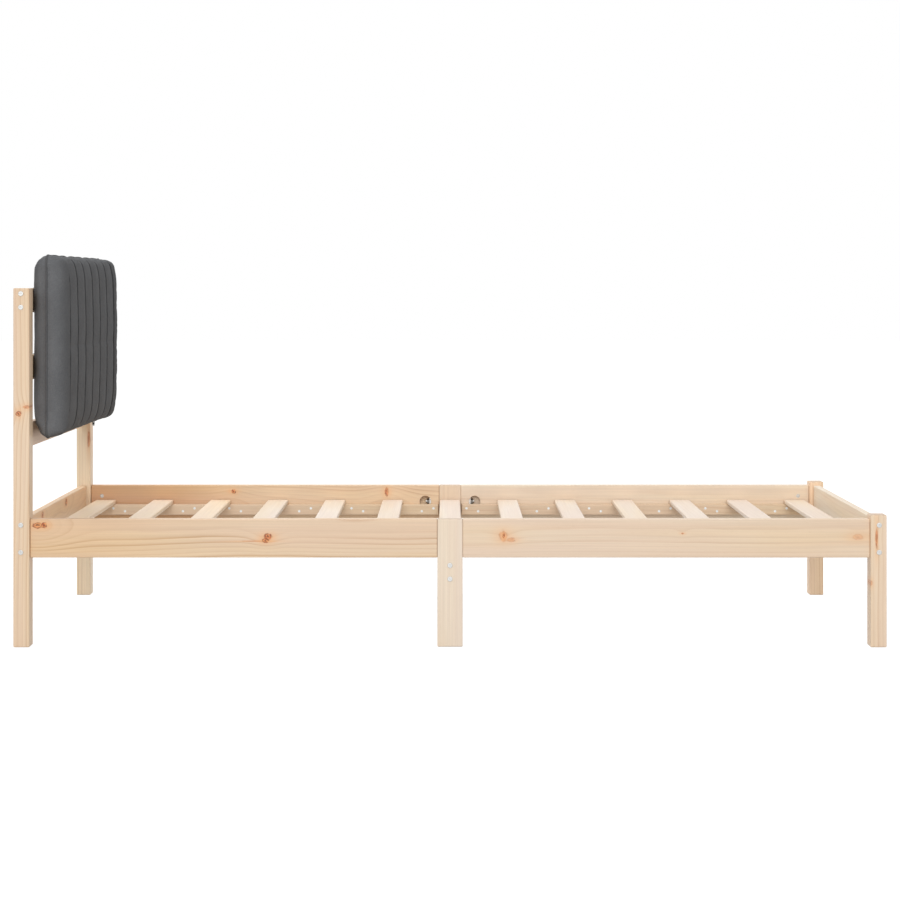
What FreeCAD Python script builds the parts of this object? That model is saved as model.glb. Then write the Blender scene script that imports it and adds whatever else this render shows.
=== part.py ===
import FreeCAD, Part
import math
import os

# Slatted pine bed frame with a channelled cushion hung on its headboard.
# Millimetres. +X runs from the head to the foot, +Z is up, and the origin lies
# on the floor under the middle of the bed. Left is -Y, right is +Y.

# Mattress that the frame is made for
mattress_length = 2000.0
mattress_width = 900.0
mattress_play_long = 1.0
mattress_play_side = 4.0

# Corner posts
post_depth = 38.0
post_width = 48.0
head_post_height = 845.0
foot_post_rise = 10.0
post_rounding = 2.5

# Rails round the mattress
rail_height = 91.0
rail_top = 301.0
end_rail_thickness = 18.0
end_rail_recess = 9.0
side_rail_thickness = 28.0
side_rail_recess = 8.0
board_rounding = 2.5

# Mid legs and the stretcher between them
mid_leg_width = 59.5
stretcher_height = 58.0
stretcher_thickness = 18.0
stretcher_drop = 5.0

# Headboard rails
headboard_rail_height = 58.0
headboard_upper_gap = 103.0
headboard_lower_gap = 101.0

# Battens and slats
batten_size = 28.0
batten_drop = 51.0
batten_end_gap = 2.0
block_end_gap = 2.0
slat_count = 13
slat_width = 56.0
slat_thickness = 11.5
slat_end_gap = 4.0
slat_first_gap = 25.0
slat_rounding = 3.5

# Socket-head bolts and barrel nuts
bolt_radius = 3.0
bolt_head_radius = 6.0
bolt_head_height = 2.2
bolt_head_rounding = 0.8
socket_flats = 4.0
socket_depth = 1.5
bolt_past_nut = 4.0
bolt_hole_play = 0.3
nut_hole_play = 0.1
bolt_end_play = 2.0
end_bolt_spacing = 64.0
side_bolt_spacing = 32.0
headboard_bolt_spacing = 32.0
stretcher_bolt_spacing = 32.0
barrel_radius = 5.0
barrel_play = 0.15
barrel_setback = 30.0
barrel_sink = 1.2
barrel_end_play = 0.3
barrel_floor = 2.8
barrel_slot_width = 1.2
barrel_slot_depth = 1.5

# Rods that join the rail halves through the mid legs
rod_radius = 4.0
rod_hole_play = 0.3
rod_past_nut = 3.0
pocket_radius = 16.0
pocket_setback = 38.0
pocket_above_middle = 0.5
half_washer_flat = 11.0
half_washer_width = 13.0
washer_play = 0.3
rod_nut_flats = 13.0
rod_nut_height = 6.5
pocket_floor_play = 1.0

# Dowels and screws
dowel_radius = 4.0
dowel_length = 36.0
dowel_spacing = 30.0
dowel_play = 0.1
dowel_end_play = 1.0
screw_radius = 1.8
screw_play = 0.1
screw_head_radius = 3.4
screw_head_height = 2.4
screw_head_sink = 0.2
screw_cross_width = 0.9
screw_cross_length = 3.6
screw_cross_depth = 1.4
batten_screw_length = 45.0
batten_screw_drop = 4.0
batten_pair_spacing = 32.0
batten_pair_shares = (0.031, 0.233, 0.383, 0.584, 0.717, 0.917)
block_screw_spacing = 30.0
slat_screw_length = 34.0
slat_screw_setback = 12.0

# Headboard cushion, seam plane at the piping
cushion_rise = 83.0
cushion_height = 445.0
cushion_side_gap = 15.5
cushion_back_depth = 36.8
cushion_front_depth = 46.8
cushion_corner_radius = 28.0
cushion_edge_roll = 70.0
cushion_back_flat_inset = 95.0
cushion_back_edge_drop = 8.0
cushion_back_corner_width = 9.0
cushion_back_bulge = 2.0
channel_count = 8
edge_channel_width = 59.5
channel_puff = 6.2
edge_channel_bulge = 27.0
back_corner_bulge_share = 0.11
cover_thickness = 1.2
cover_play = 0.4
piping_radius = 2.6
piping_play = 0.5

# How the cushion fills out from its top and bottom edge, as shares of the edge roll and of its depths
edge_level_shares = (0.0, 0.06, 0.18, 0.38, 0.64, 1.0, 1.6)
top_front_shares = (0.36, 0.52, 0.68, 0.80, 0.90, 0.955, 0.985)
bottom_front_shares = (0.18, 0.34, 0.56, 0.76, 0.88, 0.945, 0.98)
top_back_shares = (0.33, 0.69, 0.90, 0.97, 0.99, 1.0, 1.0)
bottom_back_shares = (0.45, 0.55, 0.66, 0.79, 0.91, 0.98, 1.0)
puff_shares = (1.3, 1.5, 1.9, 1.6, 1.25, 1.05, 1.0)
edge_bulge_shares = (0.5, 0.8, 1.0, 1.0, 1.0, 1.0, 1.0)

# Hook-and-loop straps round the headboard rails
strap_thickness = 1.6
strap_width = 38.0
strap_play = 0.3
strap_end_gap = 168.8
strap_tail_share = 0.6

# Zip under the cushion
zip_setback = 8.0
zip_end_gap = 14.8
zip_slit_play = 0.3
zip_gap_half = 0.7
zip_bead_width = 1.6
zip_bead_below = 0.2
zip_tape_width = 4.9
zip_tape_thickness = 0.6
zip_tape_lift = 0.2
zip_groove_play = 2.0
zip_stop_length = 3.5
zip_stop_height = 1.0

# Zip slider and its pull
slider_width = 8.4
slider_length = 12.0
slider_plate = 1.2
slider_rounding = 1.0
slider_play = 0.4
slider_keel = 0.8
slider_end_play = 2.0
bail_thickness = 1.6
bail_bar = 1.3
bail_inner_half = 2.2
bail_drop = 4.1
pull_width = 6.0
pull_thickness = 1.4
pull_length = 16.0
pull_bar_radius = 0.8
pull_bar_play = 0.2
pull_window_play = 0.7
pull_window_reach = 5.2
pull_rounding = 0.6

# Cutters stand past the faces they cut by this much
overrun = 1.0

# Places that follow from the sizes
half_length = (mattress_length + mattress_play_long) / 2 + end_rail_thickness + end_rail_recess
half_width = (mattress_width + mattress_play_side) / 2 + side_rail_thickness + side_rail_recess
rail_bottom = rail_top - rail_height
rail_middle = (rail_top + rail_bottom) / 2
foot_post_height = rail_top + foot_post_rise
stretcher_center = rail_bottom - stretcher_drop - stretcher_height / 2
post_inner_x = half_length - post_depth
post_inner_y = half_width - post_width
side_rail_outer_y = half_width - side_rail_recess
side_rail_inner_y = side_rail_outer_y - side_rail_thickness
side_rail_middle_y = (side_rail_outer_y + side_rail_inner_y) / 2
end_rail_outer_x = half_length - end_rail_recess
end_rail_inner_x = end_rail_outer_x - end_rail_thickness
end_rail_middle_x = (end_rail_outer_x + end_rail_inner_x) / 2
mid_leg_half = mid_leg_width / 2
headboard_top_center = head_post_height - headboard_rail_height / 2
headboard_mid_center = headboard_top_center - headboard_rail_height - headboard_upper_gap
headboard_low_center = headboard_mid_center - headboard_rail_height - headboard_lower_gap
batten_inner_y = side_rail_inner_y - batten_size
batten_top = rail_top - batten_drop
batten_bottom = batten_top - batten_size
slat_top = batten_top + slat_thickness
slat_half_length = side_rail_inner_y - slat_end_gap
slat_pitch = (2 * end_rail_inner_x - 2 * slat_first_gap - slat_width) / (slat_count - 1)
barrel_reach = barrel_setback + barrel_radius + bolt_past_nut
pocket_x = mid_leg_half + pocket_setback
pocket_z = rail_middle + pocket_above_middle
pocket_depth = side_rail_thickness / 2 + rod_nut_flats / 2 + pocket_floor_play
rod_half = pocket_x - half_washer_flat + rod_nut_height + rod_past_nut

# The cushion stands off the headboard rails by its straps
strap_stack = strap_thickness + 2 * strap_play
cushion_back_x = -end_rail_inner_x + strap_stack
seam_x = cushion_back_x + cushion_back_depth
piping_stand = piping_play + 2 * piping_radius
cover_half = post_inner_y - cushion_side_gap - piping_stand
cover_top = head_post_height + cushion_rise - piping_stand
cover_bottom = head_post_height + cushion_rise - cushion_height + piping_stand
line_pitch = (cover_half - edge_channel_width) / (channel_count / 2 - 1)
strap_y = cover_half - strap_end_gap

# The zip runs behind the seam, on the cushion's flat underside
zip_x = seam_x - zip_setback
zip_half = cover_half - cushion_corner_radius - zip_end_gap
zip_slit_half = zip_gap_half + zip_bead_width + zip_slit_play
zip_groove_half = zip_gap_half + zip_tape_width + zip_groove_play
tape_bottom = cover_bottom + cover_thickness + zip_tape_lift
tape_top = tape_bottom + zip_tape_thickness
slider_top_plate = cover_bottom - zip_bead_below - slider_play
slider_bottom = slider_top_plate - slider_plate
slider_inner_bottom = tape_top + slider_play
slider_inner_top = slider_inner_bottom + slider_plate
slider_y = zip_half - zip_stop_length - slider_end_play - slider_length / 2
bail_floor = slider_bottom - bail_drop + bail_bar
pull_pivot_z = bail_floor + pull_bar_play + pull_bar_radius
pull_window_half = bail_thickness / 2 + pull_window_play

ALONG_X = FreeCAD.Vector(1, 0, 0)
ALONG_Y = FreeCAD.Vector(0, 1, 0)
UP = FreeCAD.Vector(0, 0, 1)


def point(x, y, z):
    return FreeCAD.Vector(x, y, z)


def block(x_ends, y_ends, z_ends):
    """Box between two places on each axis, given in either order."""
    low = point(min(x_ends), min(y_ends), min(z_ends))
    high = point(max(x_ends), max(y_ends), max(z_ends))
    size = high - low
    return Part.makeBox(size.x, size.y, size.z, low)


def board(x_ends, y_ends, z_ends, rounding):
    """Planed board with every edge eased."""
    plain = block(x_ends, y_ends, z_ends)
    return plain.makeFillet(rounding, plain.Edges)


def cylinder(radius, start, direction, length):
    return Part.makeCylinder(radius, length, start, direction)


def drilled(solid, cutters):
    return solid.cut(Part.makeCompound(cutters)).Solids[0]


def turned(shape, place, direction):
    """Shape drawn along +Z, put at a place and turned to a direction."""
    placed = shape.copy()
    placed.Placement = FreeCAD.Placement(place, FreeCAD.Rotation(UP, direction))
    return placed


def lathe(outline):
    """Solid turned about Z from corners given as radius and height."""
    corners = [point(radius, 0, z) for radius, z in outline]
    return Part.Face(Part.makePolygon(corners + corners[:1])).revolve(point(0, 0, 0), UP, 360)


def hexagon(flats, height):
    corner = flats / math.sqrt(3)
    turns = [math.radians(60 * step) for step in range(7)]
    corners = [point(corner * math.cos(turn), corner * math.sin(turn), 0) for turn in turns]
    return Part.Face(Part.makePolygon(corners)).extrude(point(0, 0, height))


def socket_bolt(seat, direction, length):
    """Bolt whose head sits on a face at seat and whose shank runs in direction."""
    head = Part.makeCylinder(bolt_head_radius, bolt_head_height, point(0, 0, -bolt_head_height))
    outer_rim = [edge for edge in head.Edges if edge.Closed and edge.CenterOfMass.z < -bolt_head_height / 2]
    head = head.makeFillet(bolt_head_rounding, outer_rim)
    socket = hexagon(socket_flats, socket_depth + overrun)
    socket.translate(point(0, 0, -bolt_head_height - overrun))
    shank = Part.makeCylinder(bolt_radius, length)
    return turned(head.fuse(shank).cut(socket).Solids[0], seat, direction)


def bolt_bore(seat, direction, length):
    return cylinder(bolt_radius + bolt_hole_play, seat - direction * overrun, direction, length + overrun)


def barrel_nut(center, into, board_thickness, bolt_way):
    """Barrel nut sunk below a board's face; its cross hole lies on the bolt's line at center."""
    mouth = center - into * (board_thickness / 2 - barrel_sink)
    barrel = cylinder(barrel_radius, mouth, into, board_thickness - barrel_sink - barrel_floor)
    way_start = center - bolt_way * (barrel_radius + overrun)
    way = cylinder(bolt_radius + nut_hole_play, way_start, bolt_way, 2 * (barrel_radius + overrun))
    slot = Part.makeBox(barrel_slot_width, 2 * (barrel_radius + overrun), barrel_slot_depth + overrun)
    slot.translate(point(-barrel_slot_width / 2, -barrel_radius - overrun, -overrun))
    return barrel.cut(way).cut(turned(slot, mouth, into)).Solids[0]


def barrel_bore(center, into, board_thickness):
    start = center - into * (board_thickness / 2 + overrun)
    depth = board_thickness - barrel_floor + barrel_end_play
    return cylinder(barrel_radius + barrel_play, start, into, depth + overrun)


def pair(center, spacing):
    return (center - spacing / 2, center + spacing / 2)


def side_bolt_heights():
    return pair(rail_middle, side_bolt_spacing)


def end_bolt_heights():
    return pair(rail_middle, end_bolt_spacing)


def headboard_bolt_heights():
    return pair(headboard_top_center, headboard_bolt_spacing)


def stretcher_bolt_heights():
    return pair(stretcher_center, stretcher_bolt_spacing)


def dowel_heights():
    low = pair(headboard_low_center, dowel_spacing)
    return low + pair(headboard_mid_center, dowel_spacing)


def post(end, side, height, end_heights):
    """Corner post with the bores of its bolts and dowels."""
    y_ends = (side * post_inner_y, side * half_width)
    solid = board((end * post_inner_x, end * half_length), y_ends, (0, height), post_rounding)
    inward_x = ALONG_X * -end
    inward_y = ALONG_Y * -side
    seat_y = side * side_rail_middle_y
    cutters = [bolt_bore(point(end * half_length, seat_y, z), inward_x, post_depth + overrun)
               for z in side_bolt_heights()]
    rail_x = end * end_rail_middle_x
    cutters += [bolt_bore(point(rail_x, side * half_width, z), inward_y, post_width + overrun)
                for z in end_heights]
    if end < 0:
        mouths = [point(rail_x, side * post_inner_y, z) for z in dowel_heights()]
        depth = dowel_length / 2 + dowel_end_play
        cutters += [cylinder(dowel_radius + dowel_play, mouth, -inward_y, depth) for mouth in mouths]
    return drilled(solid, cutters)


def end_rail(end, center, height, bolt_heights, dowels):
    """Rail between two posts, with bolt and barrel bores or dowel bores in its ends."""
    x_ends = (end * end_rail_inner_x, end * end_rail_outer_x)
    z_ends = pair(center, height)
    solid = board(x_ends, (-post_inner_y, post_inner_y), z_ends, board_rounding)
    cutters = []
    for side in (-1, 1):
        inward = ALONG_Y * -side
        for z in bolt_heights:
            mouth = point(end * end_rail_middle_x, side * post_inner_y, z)
            cutters.append(bolt_bore(mouth, inward, barrel_reach + bolt_end_play))
            cutters.append(barrel_bore(mouth + inward * barrel_setback, ALONG_X * -end, end_rail_thickness))
        for z in dowels:
            mouth = point(end * end_rail_middle_x, side * post_inner_y, z)
            cutters.append(cylinder(dowel_radius + dowel_play, mouth - inward * overrun, inward,
                                    dowel_length / 2 + dowel_end_play + overrun))
    return drilled(solid, cutters)


def end_rail_fasteners(end, heights):
    """Bolts through the posts into an end rail, and the barrel nuts that they draw."""
    bolts = []
    nuts = []
    for side in (-1, 1):
        inward = ALONG_Y * -side
        for z in heights:
            bolts.append(socket_bolt(point(end * end_rail_middle_x, side * half_width, z), inward,
                                     post_width + barrel_reach))
            center = point(end * end_rail_middle_x, side * (post_inner_y - barrel_setback), z)
            nuts.append(barrel_nut(center, ALONG_X * -end, end_rail_thickness, inward))
    return bolts, nuts


def batten_screw_places():
    """Distance from the bed's middle and height of each screw along one batten."""
    first = mid_leg_half + batten_end_gap
    length = post_inner_x - batten_end_gap - first
    middle = (batten_top + batten_bottom) / 2
    places = []
    for index, share in enumerate(batten_pair_shares):
        near, far = pair(first + length * share, batten_pair_spacing)
        rise = batten_screw_drop if index % 2 == 0 else -batten_screw_drop
        places += [(near, middle + rise), (far, middle - rise)]
    return places


def screw(seat, direction, length):
    """Countersunk screw with a cross recess, its head just under the face at seat."""
    neck = screw_head_sink + screw_head_height
    body = lathe([(0, screw_head_sink), (screw_head_radius, screw_head_sink), (screw_radius, neck),
                  (screw_radius, length), (0, length)])
    depth_ends = (screw_head_sink - overrun, screw_head_sink + screw_cross_depth)
    wide = pair(0, screw_cross_length)
    narrow = pair(0, screw_cross_width)
    cross = block(wide, narrow, depth_ends).fuse(block(narrow, wide, depth_ends))
    return turned(body.cut(cross).Solids[0], seat, direction)


def screw_bore(seat, direction, length):
    """Pilot hole with a countersink, both a little wider than the screw."""
    wide = screw_head_radius + screw_play
    narrow = screw_radius + screw_play
    neck = screw_head_sink + screw_head_height
    depth = length + screw_play
    bore = lathe([(0, -overrun), (wide, -overrun), (wide, screw_head_sink), (narrow, neck),
                  (narrow, depth), (0, depth)])
    return turned(bore, seat, direction)


def batten_screw_seats(end, side):
    return [point(end * x, side * batten_inner_y, z) for x, z in batten_screw_places()]


def block_screw_seats(side):
    middle = (batten_top + batten_bottom) / 2
    return [point(x, side * batten_inner_y, middle) for x in pair(0, block_screw_spacing)]


def slat_center(index):
    return (index - (slat_count - 1) / 2) * slat_pitch


def slat_screw_seat(index, side):
    return point(slat_center(index), side * (slat_half_length - slat_screw_setback), slat_top)


def slat_screw_bores(side, x_ends):
    """Bores of the slat screws that come down between two places along the bed."""
    seats = [slat_screw_seat(index, side) for index in range(slat_count)]
    return [screw_bore(seat, -UP, slat_screw_length) for seat in seats if min(x_ends) < seat.x < max(x_ends)]


def side_rail(end, side):
    """Half of a long side: bolted to a post, and drawn to the mid leg by a rod from a round pocket."""
    y_ends = (side * side_rail_inner_y, side * side_rail_outer_y)
    solid = board((end * mid_leg_half, end * post_inner_x), y_ends, (rail_bottom, rail_top), board_rounding)
    outward = ALONG_Y * side
    cutters = []
    for z in side_bolt_heights():
        mouth = point(end * post_inner_x, side * side_rail_middle_y, z)
        inward = ALONG_X * -end
        cutters.append(bolt_bore(mouth, inward, barrel_reach + bolt_end_play))
        cutters.append(barrel_bore(mouth + inward * barrel_setback, outward, side_rail_thickness))
    pocket_mouth = point(end * pocket_x, side * (side_rail_inner_y - overrun), pocket_z)
    cutters.append(cylinder(pocket_radius, pocket_mouth, outward, pocket_depth + overrun))
    rod_mouth = point(end * (mid_leg_half - overrun), side * side_rail_middle_y, pocket_z)
    cutters.append(cylinder(rod_radius + rod_hole_play, rod_mouth, ALONG_X * end, pocket_setback + overrun))
    cutters += [screw_bore(seat, outward, batten_screw_length) for seat in batten_screw_seats(end, side)]
    return drilled(solid, cutters)


def mid_leg(side):
    y_ends = (side * side_rail_inner_y, side * side_rail_outer_y)
    solid = board((-mid_leg_half, mid_leg_half), y_ends, (0, rail_top), board_rounding)
    outward = ALONG_Y * side
    rod_mouth = point(-mid_leg_half - overrun, side * side_rail_middle_y, pocket_z)
    cutters = [cylinder(rod_radius + rod_hole_play, rod_mouth, ALONG_X, mid_leg_width + 2 * overrun)]
    cutters += [bolt_bore(point(0, side * side_rail_outer_y, z), -outward, side_rail_thickness + overrun)
                for z in stretcher_bolt_heights()]
    cutters += [screw_bore(seat, outward, batten_screw_length) for seat in block_screw_seats(side)]
    return drilled(solid, cutters)


def mid_stretcher():
    x_ends = pair(0, stretcher_thickness)
    z_ends = pair(stretcher_center, stretcher_height)
    solid = board(x_ends, (-side_rail_inner_y, side_rail_inner_y), z_ends, board_rounding)
    cutters = []
    for side in (-1, 1):
        for z in stretcher_bolt_heights():
            mouth = point(0, side * side_rail_inner_y, z)
            inward = ALONG_Y * -side
            cutters.append(bolt_bore(mouth, inward, barrel_reach + bolt_end_play))
            cutters.append(barrel_bore(mouth + inward * barrel_setback, -ALONG_X, stretcher_thickness))
    return drilled(solid, cutters)


def stretcher_fasteners():
    bolts = []
    nuts = []
    for side in (-1, 1):
        inward = ALONG_Y * -side
        for z in stretcher_bolt_heights():
            bolts.append(socket_bolt(point(0, side * side_rail_outer_y, z), inward,
                                     side_rail_thickness + barrel_reach))
            center = point(0, side * (side_rail_inner_y - barrel_setback), z)
            nuts.append(barrel_nut(center, -ALONG_X, stretcher_thickness, inward))
    return bolts, nuts


def side_rail_fasteners():
    bolts = []
    nuts = []
    for end in (-1, 1):
        inward = ALONG_X * -end
        for side in (-1, 1):
            for z in side_bolt_heights():
                y = side * side_rail_middle_y
                bolts.append(socket_bolt(point(end * half_length, y, z), inward, post_depth + barrel_reach))
                center = point(end * (post_inner_x - barrel_setback), y, z)
                nuts.append(barrel_nut(center, ALONG_Y * side, side_rail_thickness, inward))
    return bolts, nuts


def mid_leg_fasteners():
    """Rods through the mid legs, with a half-moon washer and a nut in each pocket."""
    rods = []
    washers = []
    nuts = []
    for side in (-1, 1):
        y = side * side_rail_middle_y
        rods.append(cylinder(rod_radius, point(-rod_half, y, pocket_z), ALONG_X, 2 * rod_half))
        for end in (-1, 1):
            middle = point(end * pocket_x, y, pocket_z)
            disc_start = middle - ALONG_Y * (half_washer_width / 2)
            disc = cylinder(pocket_radius - washer_play, disc_start, ALONG_Y, half_washer_width)
            cut_x = (end * (pocket_x - half_washer_flat), end * (pocket_x + pocket_radius + overrun))
            keep_out = block(cut_x, (y - half_washer_width, y + half_washer_width),
                             (pocket_z - pocket_radius, pocket_z + pocket_radius))
            way = cylinder(rod_radius + rod_hole_play, point(end * mid_leg_half, y, pocket_z),
                           ALONG_X * end, pocket_setback)
            washers.append(disc.cut(keep_out).cut(way).Solids[0])
            seat = point(end * (pocket_x - half_washer_flat), y, pocket_z)
            body = turned(hexagon(rod_nut_flats, rod_nut_height), seat, ALONG_X * end)
            thread = cylinder(rod_radius + nut_hole_play, seat - ALONG_X * (end * overrun), ALONG_X * end,
                              rod_nut_height + 2 * overrun)
            nuts.append(body.cut(thread).Solids[0])
    return rods, washers, nuts


def headboard_dowels():
    dowels = []
    for side in (-1, 1):
        for z in dowel_heights():
            start = point(-end_rail_middle_x, side * (post_inner_y - dowel_length / 2), z)
            dowels.append(cylinder(dowel_radius, start, ALONG_Y * side, dowel_length))
    return dowels


def batten(end, side):
    """Square batten screwed to a rail's inner face; the slats lie on it."""
    x_ends = (end * (mid_leg_half + batten_end_gap), end * (post_inner_x - batten_end_gap))
    y_ends = (side * batten_inner_y, side * side_rail_inner_y)
    solid = board(x_ends, y_ends, (batten_bottom, batten_top), board_rounding)
    seats = batten_screw_seats(end, side)
    cutters = [screw_bore(seat, ALONG_Y * side, batten_screw_length) for seat in seats]
    return drilled(solid, cutters + slat_screw_bores(side, x_ends))


def batten_block(side):
    """Short batten on the mid leg under the middle slat."""
    x_ends = (block_end_gap - mid_leg_half, mid_leg_half - block_end_gap)
    y_ends = (side * batten_inner_y, side * side_rail_inner_y)
    solid = board(x_ends, y_ends, (batten_bottom, batten_top), board_rounding)
    cutters = [screw_bore(seat, ALONG_Y * side, batten_screw_length) for seat in block_screw_seats(side)]
    return drilled(solid, cutters + slat_screw_bores(side, x_ends))


def slat(index):
    x_ends = pair(slat_center(index), slat_width)
    solid = board(x_ends, (-slat_half_length, slat_half_length), (batten_top, slat_top), slat_rounding)
    seats = [slat_screw_seat(index, side) for side in (-1, 1)]
    return drilled(solid, [screw_bore(seat, -UP, slat_screw_length) for seat in seats])


def batten_screws():
    screws = []
    for side in (-1, 1):
        seats = batten_screw_seats(-1, side) + batten_screw_seats(1, side) + block_screw_seats(side)
        screws += [screw(seat, ALONG_Y * side, batten_screw_length) for seat in seats]
    return screws


def slat_screws():
    return [screw(slat_screw_seat(index, side), -UP, slat_screw_length)
            for index in range(slat_count) for side in (-1, 1)]


def arc_edge(start, end, bulge, away):
    """Arc from start to end that stands off its chord by bulge, on the side that away points to."""
    chord = end - start
    normal = chord.cross(UP).normalize()
    if normal.dot(away) < 0:
        normal = -normal
    return Part.Arc(start, (start + end) * 0.5 + normal * bulge, end).toShape()


def cushion_section(z, half, inset, front, back, puff_share, bulge_share):
    """Level cut through the cushion: sewn channels in front, a flatter crowned back."""
    front_depth = cushion_front_depth * front - inset
    back_depth = cushion_back_depth * back - inset
    puff = channel_puff * puff_share
    edge_bulge = edge_channel_bulge * bulge_share
    lines = [step * line_pitch for step in range(1 - channel_count // 2, channel_count // 2)]
    valley = [point(seam_x + front_depth, y, z) for y in lines]
    seam_low = point(seam_x, -half, z)
    seam_high = point(seam_x, half, z)
    edges = [arc_edge(seam_low, valley[0], edge_bulge, point(1, -1, 0))]
    edges += [arc_edge(start, end, puff, ALONG_X) for start, end in zip(valley, valley[1:])]
    edges.append(arc_edge(valley[-1], seam_high, edge_bulge, point(1, 1, 0)))
    corner_y = half - cushion_back_corner_width * back
    corner_x = seam_x - back_depth + cushion_back_edge_drop * back
    flat_y = cover_half - cushion_back_flat_inset
    back_points = [seam_high, point(corner_x, corner_y, z), point(seam_x - back_depth, flat_y, z),
                   point(seam_x - back_depth, -flat_y, z), point(corner_x, -corner_y, z), seam_low]
    corner_bulge = back_corner_bulge_share * back_depth
    edges.append(arc_edge(back_points[0], back_points[1], corner_bulge, point(-1, 1, 0)))
    edges.append(arc_edge(back_points[1], back_points[2], cushion_back_bulge * back, -ALONG_X))
    edges.append(Part.LineSegment(back_points[2], back_points[3]).toShape())
    edges.append(arc_edge(back_points[3], back_points[4], cushion_back_bulge * back, -ALONG_X))
    edges.append(arc_edge(back_points[4], back_points[5], corner_bulge, point(-1, -1, 0)))
    return Part.Wire(edges)


def cushion_form(inset):
    """Pillow form of the cushion, drawn in all round by an inset."""
    bottom = cover_bottom + inset
    top = cover_top - inset
    lower = []
    upper = []
    for index, level in enumerate(edge_level_shares):
        drop = cushion_edge_roll * level
        half = half_at(drop, inset)
        soft = (puff_shares[index], edge_bulge_shares[index])
        lower.append(cushion_section(bottom + drop, half, inset, bottom_front_shares[index],
                                     bottom_back_shares[index], *soft))
        upper.append(cushion_section(top - drop, half, inset, top_front_shares[index],
                                     top_back_shares[index], *soft))
    middle = cushion_section((bottom + top) / 2, cover_half - inset, inset, 1, 1, 1, 1)
    return Part.makeLoft(lower + [middle] + upper[::-1], True, False).Solids[0]


def half_at(drop, inset):
    """Half width at a distance from the top or bottom edge, where the corners are round."""
    short = max(cushion_corner_radius - drop, 0)
    return cover_half - inset - cushion_corner_radius + math.sqrt(cushion_corner_radius ** 2 - short ** 2)


def half_space(front):
    """Box that holds all of the cushion before or behind its seam plane."""
    reach = cushion_front_depth + cushion_back_depth + channel_puff
    return block((seam_x, seam_x + front * reach), (-half_width, half_width), (0, cover_top + cushion_rise))


def cushion_covers():
    """Front and back cover: one skin, cut at the seam; the back one has the zip's slit."""
    skin = cushion_form(0).cut(cushion_form(cover_thickness))
    front = skin.common(half_space(1))
    slit = block((zip_x - zip_slit_half, zip_x + zip_slit_half), (-zip_half, zip_half),
                 (cover_bottom - overrun, tape_bottom))
    back = skin.common(half_space(-1)).cut(slit)
    return front.Solids[0], back.Solids[0]


def cushion_core():
    groove = block((zip_x - zip_groove_half, zip_x + zip_groove_half), (-zip_half, zip_half),
                   (cover_bottom, slider_inner_top + zip_groove_play))
    return cushion_form(cover_thickness + cover_play).cut(groove).Solids[0]


def cushion_piping():
    """Fabric-covered cord sewn round the seam."""
    stand = piping_play + piping_radius
    half = cover_half + stand
    low = cover_bottom - stand
    high = cover_top + stand
    radius = cushion_corner_radius + stand
    runs = []
    upright = high - low - 2 * radius
    level = 2 * (half - radius)
    for side in (-1, 1):
        runs.append(cylinder(piping_radius, point(seam_x, side * half, low + radius), UP, upright))
    for z in (low, high):
        runs.append(cylinder(piping_radius, point(seam_x, radius - half, z), ALONG_Y, level))
    for side in (-1, 1):
        for z, rise in ((low, 1), (high, -1)):
            center = point(seam_x, side * (half - radius), z + rise * radius)
            ring = Part.makeCircle(piping_radius, center + ALONG_Y * (side * radius), UP)
            section = Part.Face(Part.Wire([ring]))
            runs.append(section.revolve(center, ALONG_X, -side * rise * 90))
    return runs[0].multiFuse(runs[1:]).Solids[0]


def strap(center_y, rail_center):
    """Loop of hook-and-loop webbing round a headboard rail, with its tail folded over behind."""
    inner_x = (-end_rail_outer_x - strap_play, -end_rail_inner_x + strap_play)
    rail_half = headboard_rail_height / 2
    inner_z = (rail_center - rail_half - strap_play, rail_center + rail_half + strap_play)
    outer_x = (inner_x[0] - strap_thickness, inner_x[1] + strap_thickness)
    outer_z = (inner_z[0] - strap_thickness, inner_z[1] + strap_thickness)
    y_ends = pair(center_y, strap_width)
    way = block(inner_x, pair(center_y, strap_width + 2 * overrun), inner_z)
    loop = block(outer_x, y_ends, outer_z).cut(way)
    tail_half = rail_half * strap_tail_share
    tail = block((outer_x[0] - strap_thickness, outer_x[0]), y_ends, pair(rail_center, 2 * tail_half))
    return loop.fuse(tail).removeSplitter().Solids[0]


def cushion_straps():
    return [strap(side * strap_y, center) for side in (-1, 1)
            for center in (headboard_mid_center, headboard_top_center)]


def zip_tapes():
    """Two halves of the zip: a tape inside the slit's edge, with its row of teeth as one bead."""
    halves = []
    for way in (-1, 1):
        inner = zip_x + way * zip_gap_half
        bead_edge = inner + way * zip_bead_width
        bead = block((inner, bead_edge), (-zip_half, zip_half), (cover_bottom - zip_bead_below, tape_top))
        tape = block((inner, inner + way * zip_tape_width), (-zip_half, zip_half), (tape_bottom, tape_top))
        halves.append(bead.fuse(tape).removeSplitter().Solids[0])
    return halves


def zip_stops():
    bottom = cover_bottom - zip_bead_below
    reach = zip_gap_half + zip_bead_width
    return [block((zip_x - reach, zip_x + reach), (side * (zip_half - zip_stop_length), side * zip_half),
                  (bottom - zip_stop_height, bottom)) for side in (-1, 1)]


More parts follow.
